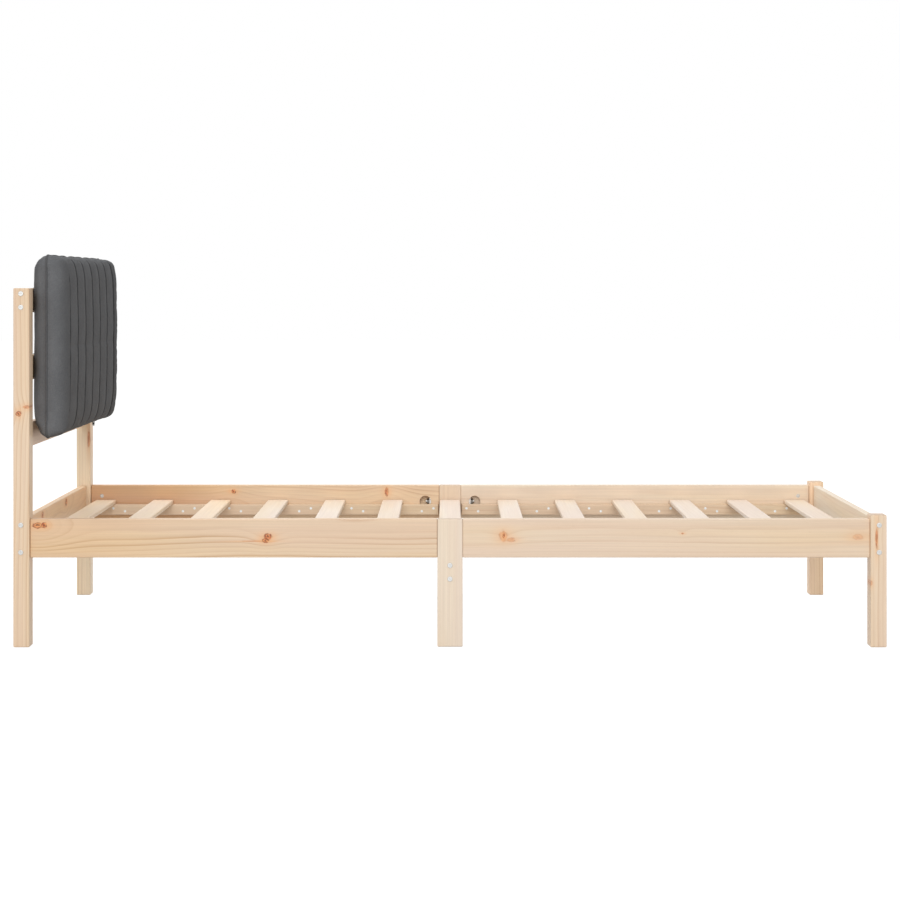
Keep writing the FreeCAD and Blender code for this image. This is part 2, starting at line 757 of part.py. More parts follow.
def zip_slider():
    """Two plates joined by a keel between the rows of teeth, with a bail under the outer plate."""
    x_ends = pair(zip_x, slider_width)
    y_ends = pair(slider_y, slider_length)
    outer = block(x_ends, y_ends, (slider_bottom, slider_top_plate))
    inner = block(x_ends, y_ends, (slider_inner_bottom, slider_inner_top))
    plates = [plate.makeFillet(slider_rounding, upright_edges(plate)) for plate in (outer, inner)]
    keel = block(pair(zip_x, slider_keel), y_ends, (slider_top_plate, slider_inner_bottom))
    arch_half = bail_inner_half + bail_bar
    arch = block(pair(zip_x, bail_thickness), pair(slider_y, 2 * arch_half),
                 (slider_bottom - bail_drop, slider_bottom))
    eye = block(pair(zip_x, bail_thickness + 2 * overrun), pair(slider_y, 2 * bail_inner_half),
                (bail_floor, slider_bottom))
    return plates[0].multiFuse([plates[1], keel, arch.cut(eye)]).removeSplitter().Solids[0]


def upright_edges(solid):
    return [edge for edge in solid.Edges
            if abs(edge.Vertexes[0].Z - edge.Vertexes[-1].Z) > edge.Length / 2]


def zip_pull():
    """Flat tab that hangs from a round crossbar in the slider's bail."""
    x_ends = pair(zip_x, pull_width)
    y_ends = pair(slider_y, pull_thickness)
    tab = block(x_ends, y_ends, (pull_pivot_z - pull_length, pull_pivot_z))
    foot = [edge for edge in tab.Edges if edge.BoundBox.ZMax < pull_pivot_z - pull_length / 2]
    tab = tab.makeFillet(pull_rounding, foot)
    window = block(pair(zip_x, 2 * pull_window_half), pair(slider_y, pull_thickness + 2 * overrun),
                   (pull_pivot_z - pull_window_reach, pull_pivot_z + overrun))
    start = point(x_ends[0], slider_y, pull_pivot_z)
    bar = cylinder(pull_bar_radius, start, ALONG_X, pull_width)
    return tab.cut(window).fuse(bar).removeSplitter().Solids[0]


def write(name, shape):
    shape.exportStep("parts/" + name + ".step")


def write_group(name, solids):
    write(name, Part.makeCompound(solids))


os.makedirs("parts", exist_ok=True)

side_names = ((-1, "left"), (1, "right"))
end_names = ((-1, "head"), (1, "foot"))

for side, side_name in side_names:
    head_heights = end_bolt_heights() + headboard_bolt_heights()
    write("head_post_" + side_name, post(-1, side, head_post_height, head_heights))
    write("foot_post_" + side_name, post(1, side, foot_post_height, end_bolt_heights()))
    write("mid_leg_" + side_name, mid_leg(side))
    write("batten_block_" + side_name, batten_block(side))
    for end, end_name in end_names:
        write("side_rail_" + side_name + "_" + end_name, side_rail(end, side))
        write("batten_" + side_name + "_" + end_name, batten(end, side))

write("head_rail", end_rail(-1, rail_middle, rail_height, end_bolt_heights(), ()))
write("foot_rail", end_rail(1, rail_middle, rail_height, end_bolt_heights(), ()))
write("headboard_top_rail", end_rail(-1, headboard_top_center, headboard_rail_height,
                                     headboard_bolt_heights(), ()))
write("headboard_mid_rail", end_rail(-1, headboard_mid_center, headboard_rail_height, (),
                                     pair(headboard_mid_center, dowel_spacing)))
write("headboard_low_rail", end_rail(-1, headboard_low_center, headboard_rail_height, (),
                                     pair(headboard_low_center, dowel_spacing)))
write("mid_stretcher", mid_stretcher())

for index in range(slat_count):
    write("slat_" + str(index + 1).zfill(2), slat(index))

head_bolts, head_nuts = end_rail_fasteners(-1, end_bolt_heights())
foot_bolts, foot_nuts = end_rail_fasteners(1, end_bolt_heights())
write_group("end_rail_bolts", head_bolts + foot_bolts)
write_group("end_rail_barrel_nuts", head_nuts + foot_nuts)
top_bolts, top_nuts = end_rail_fasteners(-1, headboard_bolt_heights())
write_group("headboard_bolts", top_bolts)
write_group("headboard_barrel_nuts", top_nuts)
side_bolts, side_nuts = side_rail_fasteners()
write_group("side_rail_bolts", side_bolts)
write_group("side_rail_barrel_nuts", side_nuts)
cross_bolts, cross_nuts = stretcher_fasteners()
write_group("stretcher_bolts", cross_bolts)
write_group("stretcher_barrel_nuts", cross_nuts)
rods, washers, rod_nuts = mid_leg_fasteners()
write_group("mid_leg_rods", rods)
write_group("mid_leg_half_washers", washers)
write_group("mid_leg_nuts", rod_nuts)
write_group("headboard_dowels", headboard_dowels())
write_group("batten_screws", batten_screws())
write_group("slat_screws", slat_screws())

front_cover, back_cover = cushion_covers()
write("cushion_front_cover", front_cover)
write("cushion_back_cover", back_cover)
write("cushion_core", cushion_core())
write("cushion_piping", cushion_piping())
write_group("cushion_straps", cushion_straps())
write_group("zip_tapes", zip_tapes())
write_group("zip_stops", zip_stops())
write("zip_slider", zip_slider())
write("zip_pull", zip_pull())
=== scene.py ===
import collections
import itertools
import math

import bpy
from mathutils import Matrix, Vector


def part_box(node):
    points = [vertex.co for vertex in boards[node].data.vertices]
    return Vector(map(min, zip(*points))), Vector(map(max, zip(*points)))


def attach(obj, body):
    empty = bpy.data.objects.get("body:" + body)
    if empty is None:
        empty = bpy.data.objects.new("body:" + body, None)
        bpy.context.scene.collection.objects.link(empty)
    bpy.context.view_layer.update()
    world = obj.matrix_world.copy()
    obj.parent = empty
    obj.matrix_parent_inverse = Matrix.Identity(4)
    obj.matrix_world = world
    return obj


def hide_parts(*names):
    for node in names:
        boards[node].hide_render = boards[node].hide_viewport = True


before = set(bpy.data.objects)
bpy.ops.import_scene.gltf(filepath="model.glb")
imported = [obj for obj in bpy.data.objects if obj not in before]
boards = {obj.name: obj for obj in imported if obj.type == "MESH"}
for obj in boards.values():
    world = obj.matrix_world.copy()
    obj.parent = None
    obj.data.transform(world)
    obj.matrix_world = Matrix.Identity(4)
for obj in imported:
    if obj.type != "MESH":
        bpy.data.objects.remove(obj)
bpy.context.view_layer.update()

# Head and foot posts: square-edged uprights of knotty pine, planed on four sides under a thin satin lacquer.
# The rails are bolted between them. Each post is a cut of its own, so each has its own rings.


def colour(red, green, blue):
    """A colour as it looks on screen, from 0 to 255, made linear for a shader."""
    parts = [part / 255 for part in (red, green, blue)]
    linear = [part / 12.92 if part < 0.04045 else ((part + 0.055) / 1.055) ** 2.4 for part in parts]
    return (*linear, 1.0)


def feed(tree, socket, value):
    """Link a socket to another one, or set it to a plain value."""
    if isinstance(value, bpy.types.NodeSocket):
        tree.links.new(value, socket)
    else:
        socket.default_value = value


def calc(tree, operation, *values):
    node = tree.nodes.new("ShaderNodeMath")
    node.operation = operation
    for socket, value in zip(node.inputs, values):
        feed(tree, socket, value)
    return node.outputs[0]


def total(tree, first, *rest):
    for value in rest:
        first = calc(tree, "ADD", first, value)
    return first


def span(tree, value, low, high, bottom=0.0, top=1.0):
    """Smooth step of a value between low and high."""
    node = tree.nodes.new("ShaderNodeMapRange")
    node.interpolation_type = "SMOOTHSTEP"
    for socket, given in zip(node.inputs, (value, low, high, bottom, top)):
        feed(tree, socket, given)
    return node.outputs[0]


def mixed(tree, share, first, second, way="MIX"):
    node = tree.nodes.new("ShaderNodeMix")
    node.data_type = "RGBA"
    node.blend_type = way
    feed(tree, node.inputs[0], share)
    feed(tree, node.inputs[6], first)
    feed(tree, node.inputs[7], second)
    return node.outputs[2]


def cloud(tree, place, stretch, seed, detail=2.0):
    """Noise whose grain is stretched by a number of waves a metre on each axis."""
    scaled = tree.nodes.new("ShaderNodeVectorMath")
    scaled.operation = "MULTIPLY"
    feed(tree, scaled.inputs[0], place)
    feed(tree, scaled.inputs[1], stretch)
    node = tree.nodes.new("ShaderNodeTexNoise")
    node.noise_dimensions = "4D"
    feed(tree, node.inputs["Vector"], scaled.outputs[0])
    feed(tree, node.inputs["W"], seed)
    feed(tree, node.inputs["Scale"], 1.0)
    feed(tree, node.inputs["Detail"], detail)
    return node.outputs


def vector_of(tree, *parts):
    node = tree.nodes.new("ShaderNodeCombineXYZ")
    for socket, part in zip(node.inputs, parts):
        feed(tree, socket, part)
    return node.outputs[0]


def parts_of(tree, vector):
    node = tree.nodes.new("ShaderNodeSeparateXYZ")
    feed(tree, node.inputs[0], vector)
    return node.outputs


def new_group(name, taken, given):
    """Empty node group with float inputs and outputs of these names."""
    group = bpy.data.node_groups.new(name, "ShaderNodeTree")
    for socket in taken:
        group.interface.new_socket(socket, in_out="INPUT", socket_type="NodeSocketFloat")
    for socket in given:
        group.interface.new_socket(socket, in_out="OUTPUT", socket_type="NodeSocketFloat")
    return group, group.nodes.new("NodeGroupInput").outputs, group.nodes.new("NodeGroupOutput").inputs


def growth_rings():
    """Rings round a pith that runs beside the board and leans a little along it, with fibres and clouds."""
    group, take, give = new_group(
        "growth_rings",
        ("Along", "Across", "Through", "Cut", "Pith across", "Pith through", "Lean", "Ring", "Push"),
        ("Latewood", "Fibre", "Honey", "Rose", "Fleck"))
    place = vector_of(group, take["Along"], take["Across"], take["Through"])
    sway = parts_of(group, cloud(group, place, (0.9, 3.0, 3.0), take["Cut"], 1.0)[1])
    ripple = cloud(group, place, (5.0, 26.0, 26.0), take["Cut"], 2.0)[0]
    across = total(group, calc(group, "SUBTRACT", take["Across"], take["Pith across"]),
                   calc(group, "MULTIPLY_ADD", sway[0], 0.044, -0.022))
    through = total(group, calc(group, "SUBTRACT", take["Through"], take["Pith through"]),
                    calc(group, "MULTIPLY", take["Along"], take["Lean"]),
                    calc(group, "MULTIPLY_ADD", sway[1], 0.044, -0.022))
    reach = calc(group, "SQRT", total(group, calc(group, "MULTIPLY", across, across),
                                      calc(group, "MULTIPLY", through, through)))
    reach = total(group, reach, take["Push"], calc(group, "MULTIPLY_ADD", ripple, 0.0044, -0.0022))
    age = calc(group, "DIVIDE", reach, take["Ring"])
    year = calc(group, "FLOOR", age)
    part_year = calc(group, "SUBTRACT", age, year)
    rise = calc(group, "POWER", part_year, 3.0)
    fall = span(group, part_year, 0.90, 1.0, 1.0, 0.0)
    luck = group.nodes.new("ShaderNodeTexWhiteNoise")
    luck.noise_dimensions = "1D"
    feed(group, luck.inputs["W"], total(group, year, take["Cut"]))
    fade = span(group, cloud(group, place, (2.6, 16.0, 16.0), take["Cut"], 1.0)[0], 0.30, 0.62, 0.25, 1.0)
    strength = calc(group, "MULTIPLY", calc(group, "MULTIPLY_ADD", luck.outputs["Value"], 0.8, 0.2), fade)
    feed(group, give["Latewood"], calc(group, "MULTIPLY", calc(group, "MULTIPLY", rise, fall), strength))
    feed(group, give["Fibre"], cloud(group, place, (4.0, 330.0, 330.0), take["Cut"], 3.0)[0])
    honey_cloud = cloud(group, place, (1.1, 12.0, 12.0), take["Cut"], 2.0)[0]
    feed(group, give["Honey"], span(group, honey_cloud, 0.40, 0.72))
    rose_cloud = cloud(group, place, (1.6, 20.0, 20.0), take["Cut"], 2.0)[0]
    feed(group, give["Rose"], span(group, rose_cloud, 0.66, 0.36))
    fleck = cloud(group, place, (60.0, 1100.0, 1100.0), take["Cut"], 1.0)[0]
    feed(group, give["Fleck"], span(group, fleck, 0.64, 0.76))
    return group


def branch_knot():
    """Cut branch: a ragged, ringed core, a broken dark rim, a warm halo, and its push on the rings."""
    group, take, give = new_group(
        "branch_knot", ("Along", "Across", "Half length", "Half width", "Swell", "Spread", "Cut"),
        ("Push", "Core", "Line", "Halo", "Eye", "Blaze"))
    along = calc(group, "DIVIDE", take["Along"], take["Half length"])
    across = calc(group, "DIVIDE", take["Across"], take["Half width"])
    place = vector_of(group, along, across, 0.0)
    rag = parts_of(group, cloud(group, place, (0.9, 0.9, 1.0), take["Cut"], 2.5)[1])
    bent_along = total(group, along, calc(group, "MULTIPLY_ADD", rag[0], 1.3, -0.65))
    bent_across = total(group, across, calc(group, "MULTIPLY_ADD", rag[1], 1.3, -0.65))
    far = calc(group, "SQRT", total(group, calc(group, "MULTIPLY", bent_along, bent_along),
                                    calc(group, "MULTIPLY", bent_across, bent_across)))
    wide_along = calc(group, "DIVIDE", take["Along"], take["Spread"])
    wide_across = calc(group, "DIVIDE", take["Across"], calc(group, "MULTIPLY", take["Spread"], 0.7))
    slow = total(group, calc(group, "MULTIPLY", wide_along, wide_along),
                 calc(group, "MULTIPLY", wide_across, wide_across))
    grain = total(group, calc(group, "MULTIPLY", calc(group, "MULTIPLY", along, along), 0.16),
                  calc(group, "MULTIPLY", calc(group, "MULTIPLY", across, across), 0.40))
    off_rim = calc(group, "DIVIDE", calc(group, "SUBTRACT", far, 0.92), 0.23)
    rim = calc(group, "EXPONENT", calc(group, "MULTIPLY", calc(group, "MULTIPLY", off_rim, off_rim), -1.0))
    ripple = calc(group, "MULTIPLY_ADD", calc(group, "COSINE", calc(group, "MULTIPLY", far, 19.0)), 0.5, 0.5)
    core = span(group, far, 0.80, 1.08, 1.0, 0.0)
    inner = calc(group, "MULTIPLY", calc(group, "MULTIPLY", calc(group, "POWER", ripple, 3.0), core), 0.7)
    rim_cloud = cloud(group, place, (1.1, 1.1, 1.0), total(group, take["Cut"], 9.0), 2.0)[0]
    gaps = span(group, rim_cloud, 0.36, 0.56)
    near = calc(group, "EXPONENT", calc(group, "MULTIPLY", slow, -1.0))
    feed(group, give["Push"], calc(group, "MULTIPLY", near, calc(group, "MULTIPLY", take["Swell"], -1.0)))
    feed(group, give["Core"], core)
    feed(group, give["Line"], calc(group, "MULTIPLY", calc(group, "MAXIMUM", rim, inner), gaps))
    feed(group, give["Halo"], calc(group, "EXPONENT", calc(group, "MULTIPLY", grain, -1.0)))
    feed(group, give["Eye"], span(group, far, 0.16, 0.46, 1.0, 0.0))
    feed(group, give["Blaze"], span(group, rag[2], 0.43, 0.63))
    return group


rings_of_pine = growth_rings()
knot_of_pine = branch_knot()
cut_number = itertools.count(1)
latewood_brown = colour(186, 136, 88)
honey = colour(232, 196, 140)
rose = colour(222, 182, 156)
end_grain_and_joint_shade = colour(140, 98, 62)
knot_pale = colour(232, 154, 94)
knot_red = colour(194, 84, 32)
knot_line = colour(122, 42, 10)
knot_eye = colour(80, 26, 6)
halo_orange = colour(238, 172, 108)


def use_group(tree, group, **given):
    node = tree.nodes.new("ShaderNodeGroup")
    node.node_tree = group
    for name, value in given.items():
        feed(tree, node.inputs[name.replace("_", " ")], value)
    return node.outputs


def plain_finish(name):
    """New material with a shader of its own; returns the material, its tree and the shader's inputs."""
    finish = bpy.data.materials.new(name)
    finish.use_nodes = True
    return finish, finish.node_tree, finish.node_tree.nodes["Principled BSDF"].inputs


def raised(tree, shader, height, depth, strength=1.0):
    """Bump the surface by a height from 0 to 1 times a depth in metres."""
    node = tree.nodes.new("ShaderNodeBump")
    feed(tree, node.inputs["Height"], height)
    feed(tree, node.inputs["Distance"], depth)
    feed(tree, node.inputs["Strength"], strength)
    tree.links.new(node.outputs[0], shader["Normal"])


def dress(node_name, finish):
    for place in boards[node_name].material_slots:
        place.material = finish


def pine(board, along, across, tint, pith, lean=0.0, ring=0.006, contrast=0.7, knots=(), end=0.3, dark_end=None):
    """Dress a board in its own cut of pine.

    along and across name the axes of its length and of its seen face, and pith is the trunk's middle
    beside the board. Each knot is its place on those axes, its half length and half width, how far
    it pushes the rings aside and over what reach, and its strength. end darkens the end grain, and
    where it is set high it also paints the shade of the joints where the board butts on the posts.
    The last argument gives the places between which a darker tone passes into the tint.
    """
    finish, tree, shader = plain_finish("pine_of_" + board)
    low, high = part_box(board)
    through = "XYZ".replace(along, "").replace(across, "")
    where = tree.nodes.new("ShaderNodeTexCoord")
    centred = tree.nodes.new("ShaderNodeMapping")
    centred.inputs["Location"].default_value = -(low + high) / 2
    tree.links.new(where.outputs["Object"], centred.inputs["Vector"])
    place = parts_of(tree, centred.outputs[0])
    cut = float(next(cut_number)) * 3.7
    middle = (low + high) / 2
    seen_knots = []
    push = 0.0
    for knot_along, knot_across, half_length, half_width, swell, spread, _ in knots:
        seen_knots.append(use_group(
            tree, knot_of_pine, Cut=cut + 7.0 * len(seen_knots),
            Half_length=half_length, Half_width=half_width, Swell=swell, Spread=spread,
            Along=calc(tree, "SUBTRACT", place[along], knot_along - middle["XYZ".index(along)]),
            Across=calc(tree, "SUBTRACT", place[across], knot_across - middle["XYZ".index(across)])))
        push = total(tree, push, seen_knots[-1]["Push"])
    rings = use_group(tree, rings_of_pine, Along=place[along], Across=place[across], Through=place[through],
                      Cut=cut, Pith_across=pith[0], Pith_through=pith[1], Lean=lean, Ring=ring, Push=push)
    if dark_end:
        dark_end_places = [dark_end_place - middle["XYZ".index(along)] for dark_end_place in dark_end[:2]]
        tint = mixed(tree, span(tree, place[along], *dark_end_places), dark_end[2], tint)
    early = mixed(tree, calc(tree, "MULTIPLY", rings["Honey"], 0.38), tint, honey)
    early = mixed(tree, calc(tree, "MULTIPLY", rings["Rose"], 0.25), early, rose)
    wood = mixed(tree, calc(tree, "MULTIPLY", rings["Latewood"], contrast), early, latewood_brown)
    fibre = span(tree, rings["Fibre"], 0.3, 0.7, 0.96, 1.03)
    wood = mixed(tree, 1.0, wood, vector_of(tree, fibre, fibre, fibre), "MULTIPLY")
    wood = mixed(tree, calc(tree, "MULTIPLY", rings["Fleck"], 0.14), wood, latewood_brown)
    for knot, (*_, strength) in zip(seen_knots, knots):
        wood = mixed(tree, calc(tree, "MULTIPLY", knot["Halo"], 0.55 * strength ** 0.5), wood, halo_orange)
        branch = mixed(tree, knot["Blaze"], knot_pale, knot_red)
        wood = mixed(tree, calc(tree, "MULTIPLY", knot["Core"], 0.85 * strength), wood, branch)
        wood = mixed(tree, calc(tree, "MULTIPLY", knot["Line"], 0.9 * strength ** 2), wood, knot_line)
        wood = mixed(tree, calc(tree, "MULTIPLY", knot["Eye"], 0.9 * strength ** 2), wood, knot_eye)
    cut_end = calc(tree, "POWER", calc(tree, "ABSOLUTE", parts_of(tree, where.outputs["Normal"])[along]), 2.0)
    wood = mixed(tree, calc(tree, "MULTIPLY", cut_end, end), wood, end_grain_and_joint_shade)
    tree.links.new(wood, shader["Base Color"])
    feed(tree, shader["Roughness"], span(tree, rings["Latewood"], 0.0, 1.0, 0.46, 0.38))
    feed(tree, shader["Specular IOR Level"], 0.5)
    relief = calc(tree, "MULTIPLY_ADD", rings["Latewood"], 0.6, calc(tree, "MULTIPLY", rings["Fibre"], 0.4))
    raised(tree, shader, relief, 0.0002, 0.6)
    dress(board, finish)


pine("head_post_left", "Z", "X", colour(234, 211, 187), (-0.060, 0.024), 0.006, 0.0085, 0.6,
     knots=((0.550, -1.0146, 0.006, 0.006, 0.006, 0.030, 0.9),
            (0.565, -0.9955, 0.004, 0.008, 0.004, 0.020, 0.6)))
# The far head post's tint is lightened, as painted light, against the shade of the cushion that falls on it.
pine("head_post_right", "Z", "X", colour(252, 234, 202), (0.05, -0.03), -0.006, 0.008, 0.6,
     knots=((0.43, -0.994, 0.024, 0.004, 0.004, 0.030, 0.6),))
pine("foot_post_left", "Z", "X", colour(239, 218, 194), (0.06, 0.03), 0.010, 0.008, 0.6,
     knots=((0.256, 1.0035, 0.022, 0.0028, 0.003, 0.030, 0.8),
            (0.151, 0.990, 0.006, 0.004, 0.0, 0.020, 0.45)))
# The far foot post's tint is lightened, as painted light, against the shade that falls on it.
pine("foot_post_right", "Z", "X", colour(249, 220, 188), (-0.05, -0.03), 0.008, 0.008, 0.6)

# Mid legs: the palest boards, straight-grained, one in the middle of each long side.
# They run from the floor to the rail's top and carry the stretcher's bolts.

pine("mid_leg_left", "Z", "X", colour(239, 226, 208), (-0.13, 0.02), 0.003, 0.014, 0.1)
pine("mid_leg_right", "Z", "X", colour(233, 214, 191), (0.12, 0.03), 0.004, 0.012, 0.25)

# Side rails: four flat-sawn planks, two to a side, butted on the posts and on the mid leg.
# Being cut well off the pith they show long flames of grain, and here and there a red-brown knot.

# The head halves of the side rails and the head rail take a strong end darkening: darker end grain, and
# painted shade in the joints at the head posts.
pine("side_rail_left_head", "X", "Z", colour(231, 206, 177), (0.040, 0.052), 0.004, 0.0074, 1.0,
     knots=((-0.971, 0.2864, 0.011, 0.0065, 0.024, 0.075, 1.0),
            (-0.956, 0.2864, 0.006, 0.006, 0.004, 0.030, 1.0),
            (-0.429, 0.2595, 0.0085, 0.007, 0.006, 0.040, 1.0),
            (-0.435, 0.2498, 0.008, 0.005, 0.003, 0.030, 1.0),
            (-0.466, 0.2490, 0.026, 0.0011, 0.0, 0.030, 0.6)),
     end=0.85, dark_end=(-0.95, -0.55, colour(228, 196, 158)))
pine("side_rail_left_foot", "X", "Z", colour(233, 213, 190), (0.044, 0.050), -0.004, 0.0080, 0.5,
     knots=((0.126, 0.2615, 0.010, 0.012, 0.004, 0.035, 0.5),
            (0.1265, 0.2617, 0.0024, 0.0065, 0.0, 0.020, 1.0),
            (0.144, 0.2520, 0.009, 0.005, 0.002, 0.020, 0.45),
            (0.548, 0.2672, 0.003, 0.002, 0.003, 0.020, 0.6),
            (0.961, 0.2584, 0.012, 0.008, 0.003, 0.030, 0.32)))
# This far rail is darker towards its head end.
pine("side_rail_right_head", "X", "Z", colour(234, 209, 178), (-0.02, -0.05), 0.040, 0.0074, 0.9,
     knots=((-0.597, 0.2837, 0.006, 0.005, 0.010, 0.050, 1.0),
            (-0.1745, 0.2832, 0.005, 0.011, 0.014, 0.060, 0.8)),
     end=0.85, dark_end=(-0.80, -0.47, colour(210, 166, 126)))
pine("side_rail_right_foot", "X", "Z", colour(237, 222, 200), (0.03, -0.06), -0.010, 0.0080, 0.35)

# Head and foot rails: planks between the posts at bed level, bolted through the posts' faces.
# Both are flat-sawn pine like the side rails.

# The head rail's tint is lightened, as painted light, against the shade of the cushion on its inner face.
pine("head_rail", "Y", "Z", colour(250, 216, 176), (0.03, -0.05), 0.030, 0.0074, 0.8,
     knots=((0.103, 0.2872, 0.014, 0.008, 0.010, 0.060, 1.0),
            (-0.248, 0.2874, 0.012, 0.008, 0.010, 0.060, 0.8)),
     end=0.85)
pine("foot_rail", "Y", "Z", colour(243, 233, 216), (-0.03, 0.05), -0.008, 0.0078, 0.2)

# Headboard rails: three narrower boards that close the headboard and carry the cushion.
# The top one is bolted through the posts, the two lower ones sit on dowels.

pine("headboard_top_rail", "Y", "Z", colour(230, 202, 172), (0.03, -0.05), 0.020, 0.007)
pine("headboard_mid_rail", "Y", "Z", colour(231, 204, 174), (-0.03, -0.06), -0.018, 0.0074)
pine("headboard_low_rail", "Y", "Z", colour(231, 200, 168), (0.02, 0.05), 0.020, 0.007,
     knots=((0.19, 0.502, 0.010, 0.008, 0.008, 0.050, 0.9),))

# Mid stretcher: a pine board on edge under the slats that ties the two mid legs together.
# Two bolts through each leg draw it up against the leg's inner face.

pine("mid_stretcher", "Y", "Z", colour(230, 206, 177), (-0.02, 0.05), 0.020, 0.0074,
     knots=((-0.22, 0.17, 0.009, 0.007, 0.008, 0.050, 0.9),))

# Battens and end blocks: square strips of pine screwed to the inner faces of the rails and the mid legs.
# The slats rest on them.

for strip, pith_side in (("batten_left_head", 1), ("batten_left_foot", -1), ("batten_right_head", -1),
                         ("batten_right_foot", 1), ("batten_block_left", 1), ("batten_block_right", -1)):
    pine(strip, "X", "Z", colour(225, 201, 171), (0.06 * pith_side, 0.05), 0.006 * pith_side, 0.0075, 0.5)

# Slats: thirteen thin, pale boards of clear pine with rounded edges.
# They are laid across the battens, and each is screwed down at both ends.

# The three slats at the head end are warmer boards, and their tint is also lightened, as painted light,
# against the headboard's shade.
warm_head_slat_tint_lit_against_shade = colour(250, 230, 204)
slat_tints = (colour(240, 227, 212), colour(241, 229, 216), colour(239, 226, 212))
for number in range(1, 14):
    slat_tint = warm_head_slat_tint_lit_against_shade if number < 4 else slat_tints[(number - 4) % 3]
    pine("slat_%02d" % number, "Y", "X", slat_tint, (0.05 + 0.01 * (number % 5), -0.04),
         0.004 * (number % 3 - 1), 0.0085, 0.12)

# Bolts, rods, washers, screws and nuts: turned steel with white zinc plating, the bolts with a hex recess.
# The nuts on the mid leg rods are plain, dull steel.


def plated(name, shade, roughness, metal=1.0):
    """Plated or enamelled metal, a little patchy and finely scuffed."""
    finish, tree, shader = plain_finish(name)
    where = tree.nodes.new("ShaderNodeTexCoord").outputs["Object"]
    patch = cloud(tree, where, (160.0, 160.0, 160.0), 2.0, 3.0)[0]
    scuff = cloud(tree, where, (1900.0, 1900.0, 500.0), 5.0, 2.0)[0]
    tree.links.new(mixed(tree, span(tree, patch, 0.35, 0.7, 0.0, 0.5), shade,
                         tuple(part * 0.82 for part in shade[:3]) + (1.0,)), shader["Base Color"])
    feed(tree, shader["Metallic"], metal)
    feed(tree, shader["Roughness"], span(tree, scuff, 0.3, 0.7, roughness, roughness + 0.14))
    raised(tree, shader, scuff, 0.00004, 0.5)
    return finish


zinc = plated("white_zinc", colour(198, 198, 196), 0.34, 0.8)
bright_zinc = plated("bright_zinc", colour(240, 240, 238), 0.45, 0.3)
dull_steel = plated("dull_steel", colour(120, 117, 113), 0.4)
for fastener in ("end_rail_bolts", "end_rail_barrel_nuts", "headboard_bolts", "headboard_barrel_nuts",
                 "side_rail_bolts", "side_rail_barrel_nuts", "stretcher_bolts", "stretcher_barrel_nuts",
                 "mid_leg_rods"):
    dress(fastener, zinc)
for fastener in ("mid_leg_half_washers", "batten_screws", "slat_screws"):
    dress(fastener, bright_zinc)
dress("mid_leg_nuts", dull_steel)

# Headboard dowels: turned beech pegs.
# They are pushed into the ends of the two lower headboard rails and into the posts.

beech, beech_tree, beech_shader = plain_finish("beech_peg")
peg_place = beech_tree.nodes.new("ShaderNodeTexCoord").outputs["Object"]
peg_fleck = cloud(beech_tree, peg_place, (900.0, 130.0, 900.0), 1.0, 2.0)[0]
beech_tree.links.new(mixed(beech_tree, span(beech_tree, peg_fleck, 0.4, 0.66), colour(214, 176, 134),
                           colour(176, 130, 88)), beech_shader["Base Color"])
feed(beech_tree, beech_shader["Roughness"], span(beech_tree, peg_fleck, 0.3, 0.7, 0.5, 0.65))
raised(beech_tree, beech_shader, peg_fleck, 0.0001)
dress("headboard_dowels", beech)

# Headboard cushion: a foam slab in a sewn cover of dark grey woven cloth, zipped underneath.
# Seven lines of stitching draw the front into eight upright channels, and the foam swells between them.
# The cover is drawn out to the seam at the corners and leaves room for the zip's slider below.

stitch_pitch = 0.11977
stitch_lines = [step * stitch_pitch for step in range(-3, 4)]
weave_cell = stitch_pitch / 24
pipe_low, pipe_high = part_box("cushion_piping")
seam_x = (pipe_low.x + pipe_high.x) / 2
pipe_radius = (pipe_high.x - pipe_low.x) / 2
pipe_bed = 0.0008
pipe_bed_up = 0.0022
pipe_half_y = pipe_high.y - pipe_radius - pipe_bed
pipe_half_z = (pipe_high.z - pipe_low.z) / 2 - pipe_radius - pipe_bed_up
pipe_middle_z = (pipe_low.z + pipe_high.z) / 2
pipe_corner = 0.030
cloth_offset = 0.0010
swell_cap = 0.0035
stitch_sink = 0.0040
stitch_half_width = 0.0022
crease_shade_reach = 0.0105
channel_depth_share = 0.36
front_set_back = 0.0060
edge_round = 0.055
edge_depth = 0.0475
edge_ease = 0.85
crest_fade = 0.026
seam_band = 0.012
dip_depths = (0.0008, 0.0013, 0.0028, 0.0009, 0.0017, 0.0011, 0.0008)
dip_width = 0.030
ear_out = 0.0035
corner_pull_depth = 0.016
corner_blend = math.radians(6)
slider_low, slider_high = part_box("zip_slider")
slider_room = 0.0008


def pick(piece):
    """Make a piece the only one selected, and the active one."""
    bpy.ops.object.select_all(action="DESELECT")
    piece.select_set(True)
    bpy.context.view_layer.objects.active = piece


def edit(piece, choice="DESELECT"):
    pick(piece)
    bpy.ops.object.mode_set(mode="EDIT")
    bpy.ops.mesh.select_all(action=choice)


def leave():
    bpy.ops.object.mode_set(mode="OBJECT")


def finish_with(piece, kind, **settings):
    """Add a modifier with these settings and apply it."""
    pick(piece)
    step = piece.modifiers.new(kind.lower(), kind)
    for name, value in settings.items():
        setattr(step, name, value)
    bpy.ops.object.modifier_apply(modifier=step.name)


def dip(y):
    """How far the stitching draws the cushion's top and bottom edge in, at a place along it."""
    return sum(depth * math.exp(-((y - line) / dip_width) ** 2)
               for line, depth in zip(stitch_lines, dip_depths))


